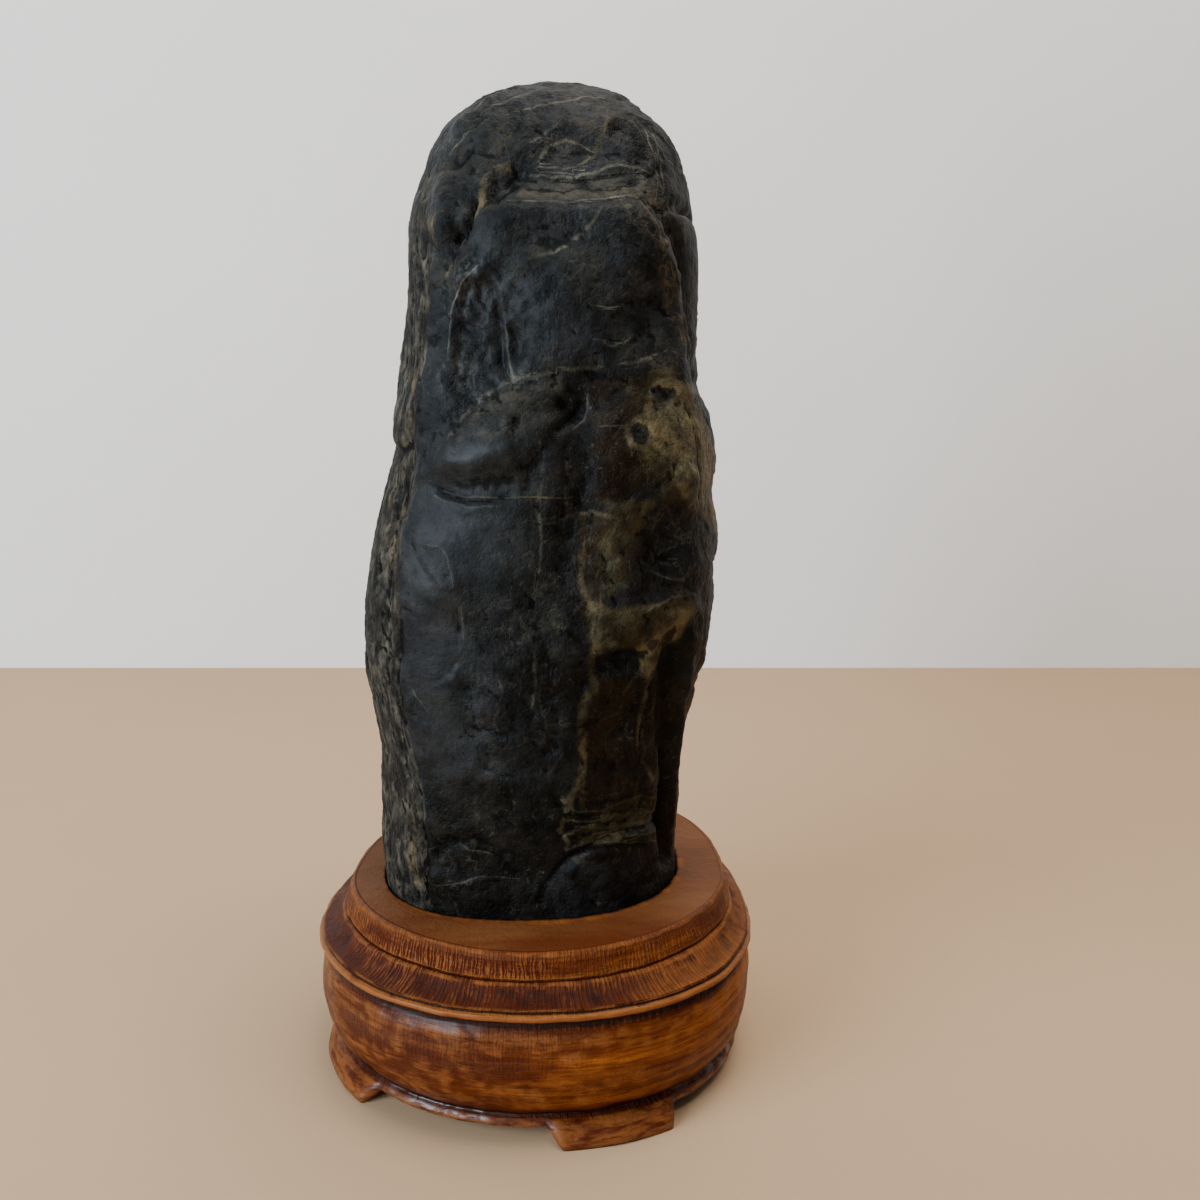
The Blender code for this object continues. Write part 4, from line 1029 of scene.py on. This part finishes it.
def newMaterial(name, sockets):
    material = bpy.data.materials.new(name)
    material.use_nodes = True
    shader = material.node_tree.nodes["Principled BSDF"]
    for key, value in sockets.items():
        shader.inputs[key].default_value = value
    place = addNode(material.node_tree, "ShaderNodeTexCoord").outputs["Object"]
    return material, material.node_tree, shader, place


def addBump(tree, shader, height, distance):
    bump = addNode(tree, "ShaderNodeBump", {"Height": height, "Distance": distance, "Strength": 1.0})
    tree.links.new(bump.outputs["Normal"], shader.inputs["Normal"])


stoneLook = {
    "slate": (0.0160, 0.0172, 0.0182, 1.0),
    "slateDark": (0.0080, 0.0084, 0.0086, 1.0),
    # near black of the stone, also used as painted shade low down and at the right
    "darkStoneAndShade": (0.0042, 0.0034, 0.0025, 1.0),
    "coal": (0.0022, 0.0020, 0.0018, 1.0),
    "dusk": (0.0058, 0.0062, 0.0060, 1.0),
    "umber": (0.0110, 0.0060, 0.0018, 1.0),
    "umberDark": (0.0050, 0.0026, 0.0009, 1.0),
    "moss": (0.0155, 0.0140, 0.0080, 1.0),
    "greyDust": (0.050, 0.047, 0.036, 1.0),
    "khaki": (0.066, 0.055, 0.033, 1.0),
    "paleLine": (0.100, 0.094, 0.070, 1.0),
    "ochre": (0.095, 0.062, 0.025, 1.0),
    "olive": (0.052, 0.042, 0.0180, 1.0),
    "oliveDark": (0.0150, 0.0118, 0.0054, 1.0),
    "straw": (0.135, 0.112, 0.058, 1.0),
    "strawDark": (0.034, 0.028, 0.0135, 1.0),
    "blob": (0.0088, 0.0090, 0.0092, 1.0),
    "barkDark": (0.0062, 0.0058, 0.0050, 1.0),
    "barkLight": (0.070, 0.061, 0.044, 1.0),
    "speck": (0.6, 0.6, 0.56, 1.0),
    "bumpHeight": 0.0007,
    "sockets": {"Specular IOR Level": 0.07, "Specular Tint": (0.78, 0.90, 1.0, 1.0), "Coat Roughness": 0.36,
                "Coat IOR": 1.4},
}


def stoneMaterial(mottle, vein, hair):
    look = stoneLook
    material, tree, shader, place = newMaterial("waxed dark stone", look["sockets"])
    cloud, part = finishTools(tree, mottle, place)

    def ragged(field, scale, reach, low=0.35, high=0.65):
        # a field whose soft edge is broken up by noise
        edge = part(calc(tree, "SUBTRACT", noiseNode(tree, place, scale, 5.0, 0.64), 0.5), reach)
        return ramp(tree, calc(tree, "ADD", mask(tree, field), edge), low, high)

    def hairs(scale, width, cover):
        return useGroup(tree, hair, {"Vector": place, "Scale": scale, "Width": width, "Cover": cover})

    bark, hollow, polish = mask(tree, "bark"), mask(tree, "hollow"), mask(tree, "polish")
    crest, swell, faceUp = mask(tree, "crest"), mask(tree, "swell"), mask(tree, "faceUp")
    upright = stretched(tree, place, (1.0, 1.0, 0.28), (0.12, 0.0, 0.0))
    level = stretched(tree, place, (0.35, 0.35, 1.5))
    coarse = stretched(tree, place, (1.0, 1.0, 0.5), (0.12, 0.0, 0.0))

    # slate that turns to near black low down and at the right, partly painted shade
    colour = mixColour(tree, cloud(42.0, 0.5, 0.3, 6.0), look["slate"], look["slateDark"])
    colour = mixColour(tree, part(cloud(70.0, 0.38, 0.16, 5.0), 0.6), colour, look["moss"])
    # partly painted shade: near black low down, in the middle and at the right
    colour = mixColour(tree, part(ragged("darkStoneAndShade", 26.0, 0.9, 0.1, 1.0), 0.95), colour, look["darkStoneAndShade"])
    umber = mixColour(tree, cloud(120.0, 0.5, 0.25, 5.0, upright), look["umberDark"], look["umber"])
    colour = mixColour(tree, part(ragged("umber", 60.0, 1.4), 0.92), colour, umber)
    # olive and straw patches
    oliveShare = part(ragged("olive", 80.0, 1.7, 0.3, 0.9), cloud(200.0, 0.7, 0.25, 4.0))
    olive = mixColour(tree, cloud(90.0, 0.5, 0.2, 5.0), look["oliveDark"], look["olive"])
    colour = mixColour(tree, part(oliveShare, 0.85), colour, olive)
    strawShare = part(ragged("straw", 120.0, 1.5, 0.25, 0.9), cloud(130.0, 0.66, 0.22, 5.0))
    straw = mixColour(tree, cloud(150.0, 0.50, 0.2, 4.0), look["strawDark"], look["straw"])
    straw = mixColour(tree, part(cloud(75.0, 0.42, 0.14, 5.0), 0.7), straw, look["ochre"])
    colour = mixColour(tree, part(strawShare, 0.9), colour, straw)
    colour = mixColour(tree, part(ragged("dusk", 80.0, 1.1), 0.85), colour, look["dusk"])
    # painted shade: what looks up is darkened first; then dust: a film on what looks up, a soft bloom and
    # level streaks
    colour = mixColour(tree, part(ramp(tree, faceUp, 0.15, 0.7), 0.7), colour, look["slateDark"])
    film = part(ramp(tree, faceUp, 0.25, 0.95), cloud(150.0, 0.55, 0.25, 4.0))
    colour = mixColour(tree, part(film, 0.06), colour, look["khaki"])
    bloom = part(cloud(110.0, 0.40, 0.18, 5.0), cloud(24.0, 0.5, 0.2))
    colour = mixColour(tree, part(bloom, 0.2), colour, look["greyDust"])
    streaks = part(cloud(200.0, 0.34, 0.14, 4.0, level), cloud(40.0, 0.45, 0.2))
    colour = mixColour(tree, part(streaks, 0.2), colour, look["greyDust"])
    dusty = part(ragged("dust", 150.0, 1.6, 0.2, 1.0), cloud(210.0, 0.56, 0.2, 4.0))
    dustColour = mixColour(tree, cloud(130.0, 0.5, 0.2, 5.0), look["greyDust"], look["khaki"])
    colour = mixColour(tree, part(dusty, 0.38), colour, dustColour)
    # the rough side face
    fibre = cloud(380.0, 0.45, 0.17, 4.0, coarse)
    barkColour = mixColour(tree, fibre, look["barkDark"], look["barkLight"])
    barkColour = mixColour(tree, part(cloud(70.0, 0.34, 0.12, 5.0, upright), 0.4), barkColour, look["ochre"])
    # painted shade: the grooves of the rough side face turned near black
    barkColour = mixColour(tree, ramp(tree, crest, -0.2, -0.9), barkColour, look["coal"])
    barkShare = part(ragged("bark", 90.0, 0.9), cloud(48.0, 0.66, 0.2, 6.0))
    colour = mixColour(tree, part(barkShare, 0.8), colour, barkColour)
    rim = part(ragged("rim", 170.0, 1.6, 0.3, 0.8), cloud(260.0, 0.62, 0.2, 4.0))
    rimColour = mixColour(tree, part(cloud(150.0, 0.5, 0.2, 4.0), 0.6), look["khaki"], look["ochre"])
    colour = mixColour(tree, part(rim, 0.85), colour, rimColour)
    # fine hair lines: pale all over, rusty on the shoulder
    fine = part(hairs(38.0, 0.010, 0.52), calc(tree, "SUBTRACT", 1.0, part(polish, 0.7)))
    colour = mixColour(tree, part(fine, 0.15), colour, look["paleLine"])
    web = calc(tree, "MAXIMUM", hairs(90.0, 0.034, 0.72), hairs(150.0, 0.04, 0.6))
    web = part(web, mask(tree, "web"))
    webColour = mixColour(tree, cloud(40.0, 0.5, 0.15), look["ochre"], look["khaki"])
    colour = mixColour(tree, part(web, 0.55), colour, webColour)
    slabLines = part(hairs(110.0, 0.03, 0.7), mask(tree, "dusk"))
    colour = mixColour(tree, part(slabLines, 0.24), colour, look["paleLine"])
    # veins
    ochre = useGroup(tree, vein, {"Vector": place, "Gap": mask(tree, "ochreVein"),
                                  "Reach": mask(tree, "ochreReach"), "Fray": 0.55, "Breaks": 0.6})
    ochreColour = mixColour(tree, cloud(120.0, 0.5, 0.2), look["strawDark"], look["khaki"])
    ochreColour = mixColour(tree, part(cloud(60.0, 0.4, 0.15), 0.6), ochreColour, look["ochre"])
    colour = mixColour(tree, part(ochre, cloud(300.0, 0.66, 0.25, 3.0), 0.85), colour, ochreColour)
    pale = useGroup(tree, vein, {"Vector": place, "Gap": mask(tree, "paleVein"),
                                 "Reach": mask(tree, "paleReach"), "Fray": 0.45, "Breaks": 0.8})
    paleShare = part(pale, cloud(400.0, 0.62, 0.3, 3.0), mask(tree, "paleShare"))
    colour = mixColour(tree, paleShare, colour, look["paleLine"])
    # dark blobs and pores, pale flecks, painted shade in the grooves and a few white specks
    colour = mixColour(tree, part(ragged("blob", 200.0, 1.3), 0.85), colour, look["blob"])
    colour = mixColour(tree, part(cloud(480.0, 0.34, 0.07, 3.0), 0.5), colour, look["coal"])
    unpolished = calc(tree, "SUBTRACT", 1.0, part(polish, 0.6))
    flecks = part(cloud(620.0, 0.33, 0.05, 3.0), cloud(50.0, 0.48, 0.16, 4.0), unpolished)
    colour = mixColour(tree, part(flecks, 0.6), colour, look["khaki"])
    # painted shade: the grooves turned near black, less so in the big hollow
    grooveShade = part(ramp(tree, crest, -0.5, -1.0), calc(tree, "SUBTRACT", 0.85, part(hollow, 0.5)))
    colour = mixColour(tree, grooveShade, colour, look["coal"])
    dots = addNode(tree, "ShaderNodeTexVoronoi", {"Vector": place, "Scale": 85.0}, feature="F1")
    speck = part(ramp(tree, dots.outputs["Distance"], 0.03, 0.012), cloud(31.0, 0.32, 0.02))
    colour = mixColour(tree, part(speck, 0.8), colour, look["speck"])
    tone = ramp(tree, noiseNode(tree, place, 130.0, 5.0, 0.68), 0.32, 0.68, 0.5, 1.75)
    colour = mixColour(tree, calc(tree, "SUBTRACT", 1.0, part(polish, 0.5)), colour, tone, "MULTIPLY")
    tree.links.new(colour, shader.inputs["Base Color"])

    rough = calc(tree, "ADD", 0.46, part(cloud(75.0, 0.5, 0.25), 0.12))
    rough = calc(tree, "ADD", rough, part(barkShare, 0.2))
    tree.links.new(rough, shader.inputs["Roughness"])
    wax = part(calc(tree, "ADD", part(polish, 0.15), part(hollow, 0.16)), cloud(90.0, 0.55, 0.25, 5.0))
    wax = calc(tree, "ADD", wax, part(mask(tree, "gleam"), cloud(160.0, 0.55, 0.25, 5.0, level), 0.42))
    tree.links.new(wax, shader.inputs["Coat Weight"])

    skin = part(noiseNode(tree, place, 330.0, 3.0, 0.68), 1.1)
    crease = calc(tree, "ABSOLUTE", calc(tree, "SUBTRACT", noiseNode(tree, place, 210.0, 4.0, 0.6), 0.5))
    skin = calc(tree, "ADD", skin, part(ramp(tree, crease, 0.0, 0.07), 0.16))
    skin = part(skin, calc(tree, "SUBTRACT", 1.0, part(polish, 0.4)))
    skin = calc(tree, "ADD", skin, part(fibre, bark, 0.7))
    pocks = addNode(tree, "ShaderNodeTexVoronoi", {"Vector": place, "Scale": 520.0}, feature="F1")
    pocked = part(ramp(tree, pocks.outputs["Distance"], 0.32, 0.1), cloud(60.0, 0.4, 0.1))
    skin = calc(tree, "SUBTRACT", skin, part(pocked, calc(tree, "ADD", 0.3, hollow), 0.5))
    skin = calc(tree, "ADD", skin, part(swell, 0.02))
    addBump(tree, shader, skin, look["bumpHeight"])
    return material


woodLook = {
    "orange": (0.122, 0.0215, 0.0007, 1.0),
    "amber": (0.320, 0.088, 0.0105, 1.0),
    "redBrown": (0.066, 0.0092, 0.0005, 1.0),
    "darkBrown": (0.0150, 0.0026, 0.0006, 1.0),
    "plum": (0.040, 0.0074, 0.0032, 1.0),
    "topFace": (0.160, 0.058, 0.0175, 1.0),
    "topDark": (0.090, 0.0300, 0.0085, 1.0),
    # the wood's worn colour, also the colour of painted highlights on rib tops and crests
    "wearAndHighlight": (0.260, 0.084, 0.0170, 1.0),
    "tan": (0.185, 0.052, 0.0075, 1.0),
    "bumpHeight": 0.0006,
    "sockets": {"Specular IOR Level": 0.10, "Coat Roughness": 0.26, "Coat IOR": 1.5},
}


def woodMaterial(mottle):
    look = woodLook
    material, tree, shader, place = newMaterial("lacquered wood", look["sockets"])
    wrap = addNode(tree, "ShaderNodeUVMap", uv_map="wrap").outputs["UV"]
    cloud, part = finishTools(tree, mottle, place)

    def rest(share):
        return calc(tree, "SUBTRACT", 1.0, share)

    def along(aroundCount, upCount):
        # coordinates that follow the moulding: features per 100 mm round it and up it
        return stretched(tree, wrap, (aroundCount, upCount, 1.0))

    def run(aroundCount, upCount, detail=7.0, roughness=0.62, distortion=0.3):
        return noiseNode(tree, along(aroundCount, upCount), 1.0, detail, roughness, distortion)

    topFace, band, cove, groove = (mask(tree, n) for n in ("topFace", "band", "cove", "groove"))
    bead, belly, lip, crest = (mask(tree, n) for n in ("bead", "belly", "lip", "crest"))
    slope, level = mask(tree, "footSlope"), mask(tree, "level")
    across, frontward, _ = addNode(tree, "ShaderNodeSeparateXYZ", {0: place}).outputs
    toRight = ramp(tree, across, -0.030, 0.030)
    grain = stretched(tree, place, (0.12, 0.35, 1.0), (0.02, 0.05, 0.0))

    # streaks that run round the turned body: red and dark at the left, amber towards the right, partly
    # painted shade at the left and painted light at the right
    broad, fine, blotch = run(1.6, 22.0), run(9.0, 150.0, 8.0, 0.66), run(5.0, 16.0, 8.0)
    # the share added from toRight is painted shade at the left and painted light at the right
    share = calc(tree, "ADD", broad, part(calc(tree, "SUBTRACT", toRight, 0.55), 0.20))
    colour = mixColour(tree, ramp(tree, share, 0.38, 0.58), look["redBrown"], look["orange"])
    colour = mixColour(tree, part(ramp(tree, share, 0.53, 0.70), 0.85), colour, look["amber"])
    blotched = part(ramp(tree, blotch, 0.52, 0.66), ramp(tree, across, -0.022, 0.004), 0.45)
    colour = mixColour(tree, blotched, colour, look["amber"])
    # dark red bands low on the body, partly painted shade towards the bottom
    lowBandsAndShade = part(ramp(tree, run(0.8, 52.0, 5.0), 0.56, 0.40), ramp(tree, level, 0.44, 0.24), 0.8)
    colour = mixColour(tree, lowBandsAndShade, colour, look["redBrown"])
    colour = mixColour(tree, part(ramp(tree, fine, 0.50, 0.34), 0.75), colour, look["redBrown"])
    colour = mixColour(tree, part(ramp(tree, fine, 0.56, 0.72), 0.35), colour, look["amber"])
    marks = part(ramp(tree, run(26.0, 60.0, 6.0), 0.40, 0.28), 0.75)
    colour = mixColour(tree, marks, colour, look["darkBrown"])
    specks = part(ramp(tree, run(46.0, 240.0, 3.0, 0.6, 0.0), 0.42, 0.32), 0.6)
    colour = mixColour(tree, specks, colour, look["darkBrown"])
    # the carver's marks run up and down the band, the cove and the left of the belly
    ribs = addNode(tree, "ShaderNodeTexWave", {"Vector": along(1.0, 0.25), "Scale": 27.0, "Distortion": 10.0,
                                               "Detail": 4.0, "Detail Scale": 2.2, "Detail Roughness": 0.6},
                   wave_type="BANDS", bands_direction="X").outputs["Fac"]
    scrape = run(90.0, 13.0, 6.0, 0.7, 0.4)
    onBelly = part(belly, rest(ramp(tree, across, -0.014, 0.026)), ramp(tree, level, 0.38, 0.50), 0.9)
    cutZone = calc(tree, "MINIMUM", calc(tree, "ADD", calc(tree, "ADD", band, cove), onBelly), 1.0)
    ribCut = part(ramp(tree, ribs, 0.45, 0.02), cutZone, cloud(70.0, 0.52, 0.13, 6.0))
    # the cove: dark and reddish, rubbed to tan wood at the right with two dark smudges
    coveColour = mixColour(tree, ramp(tree, scrape, 0.40, 0.66), look["plum"], look["redBrown"])
    rubbed = part(ramp(tree, across, 0.024, 0.044), cloud(70.0, 0.74, 0.12, 5.0))
    tanColour = mixColour(tree, ramp(tree, run(7.0, 12.0, 5.0), 0.46, 0.36), look["tan"], look["plum"])
    coveColour = mixColour(tree, part(rubbed, 0.9), coveColour, tanColour)
    colour = mixColour(tree, part(cove, 0.9), colour, coveColour)
    bandDark = part(band, calc(tree, "MAXIMUM", part(ramp(tree, run(3.0, 9.0), 0.58, 0.44), 0.8),
                               part(ramp(tree, level, 0.95, 0.87), 0.75)))
    colour = mixColour(tree, part(bandDark, 0.8), colour, look["redBrown"])
    colour = mixColour(tree, part(ribCut, 0.4), colour, look["darkBrown"])
    # painted highlight on the rib tops of the band and the cove
    ribTopHighlight = part(ramp(tree, ribs, 0.62, 0.95), calc(tree, "ADD", band, part(cove, 0.6)),
                  ramp(tree, run(4.0, 14.0), 0.42, 0.6))
    colour = mixColour(tree, part(ribTopHighlight, 0.7), colour, look["wearAndHighlight"])
    teeth = ramp(tree, run(95.0, 20.0, 4.0, 0.6, 0.0), 0.34, 0.56)
    colour = mixColour(tree, part(groove, teeth, 0.92), colour, look["darkBrown"])
    colour = mixColour(tree, part(bead, ramp(tree, run(12.0, 30.0), 0.32, 0.52), 0.75), colour, look["wearAndHighlight"])
    colour = mixColour(tree, part(slope, ramp(tree, run(8.0, 30.0), 0.26, 0.42), 0.92), colour, look["plum"])
    lowFoot = part(ramp(tree, level, 0.12, 0.06), ramp(tree, run(6.0, 40.0), 0.70, 0.44), 0.85)
    colour = mixColour(tree, lowFoot, colour, look["redBrown"])
    colour = mixColour(tree, part(lip, ramp(tree, fine, 0.70, 0.44), 0.85), colour, look["redBrown"])
    # crests: wear and painted highlight, and lacquer that has gathered in the hollows
    crestWearAndHighlight = part(ramp(tree, crest, 0.15, 0.7), ramp(tree, run(14.0, 60.0, 8.0), 0.36, 0.60))
    colour = mixColour(tree, part(crestWearAndHighlight, 0.6), colour, look["wearAndHighlight"])
    colour = mixColour(tree, part(ramp(tree, crest, -0.05, -0.6), 0.85), colour, look["darkBrown"])
    topShade = part(cloud(110.0, 0.45, 0.2, 5.0, grain), 0.7)
    topColour = mixColour(tree, topShade, look["topFace"], look["topDark"])
    topColour = mixColour(tree, part(cloud(420.0, 0.38, 0.16, 3.0, grain), 0.5), topColour, look["topDark"])
    smudge = part(ramp(tree, frontward, -0.026, -0.048), cloud(60.0, 0.46, 0.1, 6.0, grain))
    topColour = mixColour(tree, part(smudge, 0.8), topColour, look["redBrown"])
    # painted shade: the top face darkened along the joint with the stone
    topColour = mixColour(tree, ramp(tree, mask(tree, "recessEdge"), 1.3, 0.1), topColour, look["darkBrown"])
    colour = mixColour(tree, part(topFace, rest(part(crestWearAndHighlight, 0.7))), colour, topColour)
    tree.links.new(colour, shader.inputs["Base Color"])

    dull = calc(tree, "ADD", 0.36, part(topFace, 0.18))
    dull = calc(tree, "ADD", dull, part(cove, 0.12))
    dull = calc(tree, "ADD", dull, part(cloud(90.0, 0.5, 0.25), 0.12))
    tree.links.new(dull, shader.inputs["Roughness"])
    sheen = ramp(tree, run(2.6, 70.0, 6.0), 0.34, 0.60)
    edges = part(calc(tree, "ADD", lip, bead), rest(slope), 0.16)
    glossy = calc(tree, "ADD", edges, part(onBelly, sheen, 0.4))
    glossy = calc(tree, "ADD", glossy, part(belly, 0.03))
    glints = ramp(tree, run(30.0, 70.0, 5.0), 0.44, 0.58)
    glossy = calc(tree, "ADD", glossy, part(lip, rest(slope), glints, 0.7))
    tree.links.new(glossy, shader.inputs["Coat Weight"])

    skin = part(ramp(tree, ribs, 0.0, 0.5), cutZone, 0.30)
    skin = calc(tree, "ADD", skin, part(scrape, calc(tree, "ADD", 0.15, cutZone), 0.4))
    skin = calc(tree, "ADD", skin, part(fine, rest(topFace), 0.8))
    skin = calc(tree, "ADD", skin, part(noiseNode(tree, place, 420.0, 3.0, 0.66), 0.6))
    skin = calc(tree, "SUBTRACT", skin, part(groove, teeth, 0.6))
    addBump(tree, shader, skin, look["bumpHeight"])
    return material


studio = {
    "floor": (0.45, 0.30, 0.175, 1.0),
    "wall": (0.86, 0.83, 0.79, 1.0),
    "wallDistance": 0.43,
    "wallHeight": 2.5,
    "halfWidth": 2.5,
    "unevenness": 0.95,  # the darker of the floor's and the wall's two shades
    "room": (0.90, 0.93, 1.0, 1.0),
    "roomStrength": 0.20,
    "window": {"place": (-0.95, -0.80, 0.50), "aim": (0.0, 0.0, 0.13), "size": 0.9, "power": 34.0,
               "colour": (0.76, 0.88, 1.0)},
    "lamp": {"place": (0.3, -0.1, 1.5), "aim": (0.0, 0.43, 0.35), "size": 0.8, "power": 22.0,
             "colour": (1.0, 0.96, 0.90)},
    "cameraPlace": (0.01925, -0.34703, 0.20426),
    "cameraTilt": 78.5,
    "lens": 36.09,
    "sensorWidth": 36.0,
}


def plainMaterial(name, colour, mottle):
    material, tree, shader, place = newMaterial(name, {"Roughness": 0.75, "Specular IOR Level": 0.25})
    cloud, _ = finishTools(tree, mottle, place)
    darker = tuple(studio["unevenness"] * c for c in colour[:3]) + (1.0,)
    tree.links.new(mixColour(tree, cloud(6.0, 0.5, 0.4, 3.0), colour, darker), shader.inputs["Base Color"])
    return material


def addPlane(name, corners, material):
    bm = bmesh.new()
    bmesh.ops.create_grid(bm, x_segments=8, y_segments=8, size=1.0)
    low, high, back = corners
    for vertex in bm.verts:
        along, up = (vertex.co.x + 1) / 2, (vertex.co.y + 1) / 2
        vertex.co = Vector(low) + (Vector(high) - Vector(low)) * along + (Vector(back) - Vector(low)) * up
    plane = addPiece(name, bm, {})
    plane.data.materials.append(material)


def addLight(name, form):
    data = bpy.data.lights.new(name, "AREA")
    data.shape = "SQUARE"
    data.size = form["size"]
    data.energy = form["power"]
    data.color = form["colour"]
    light = bpy.data.objects.new(name, data)
    light.location = form["place"]
    light.rotation_euler = (Vector(form["aim"]) - Vector(form["place"])).to_track_quat("-Z", "Y").to_euler()
    bpy.context.scene.collection.objects.link(light)


def buildStudio(mottle):
    deep, half, high = studio["wallDistance"], studio["halfWidth"], studio["wallHeight"]
    addPlane("floor", ((-half, -half, 0.0), (half, -half, 0.0), (-half, deep, 0.0)),
             plainMaterial("pale floor", studio["floor"], mottle))
    addPlane("wall", ((-half, deep, 0.0), (half, deep, 0.0), (-half, deep, high)),
             plainMaterial("pale wall", studio["wall"], mottle))
    world = bpy.data.worlds.new("room")
    world.use_nodes = True
    sky = world.node_tree.nodes["Background"]
    sky.inputs["Color"].default_value = studio["room"]
    sky.inputs["Strength"].default_value = studio["roomStrength"]
    bpy.context.scene.world = world
    for name in ("window", "lamp"):
        addLight(name, studio[name])
    data = bpy.data.cameras.new("camera")
    data.sensor_width = studio["sensorWidth"]
    data.lens = studio["lens"]
    camera = bpy.data.objects.new("camera", data)
    camera.location = studio["cameraPlace"]
    camera.rotation_euler = (math.radians(studio["cameraTilt"]), 0.0, 0.0)
    bpy.context.scene.collection.objects.link(camera)
    bpy.context.scene.camera = camera
    print("studio: floor, wall, lights and camera")


def dress(piece, node, material):
    piece.data.materials.append(material)
    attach(piece, "root")
    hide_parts(node)


mottle = mottleGroup()
dress(buildStone(), "stone", stoneMaterial(mottle, veinGroup(), hairGroup()))
dress(buildStand(), "stand", woodMaterial(mottle))
print("finishes: stone and wood")
buildStudio(mottle)
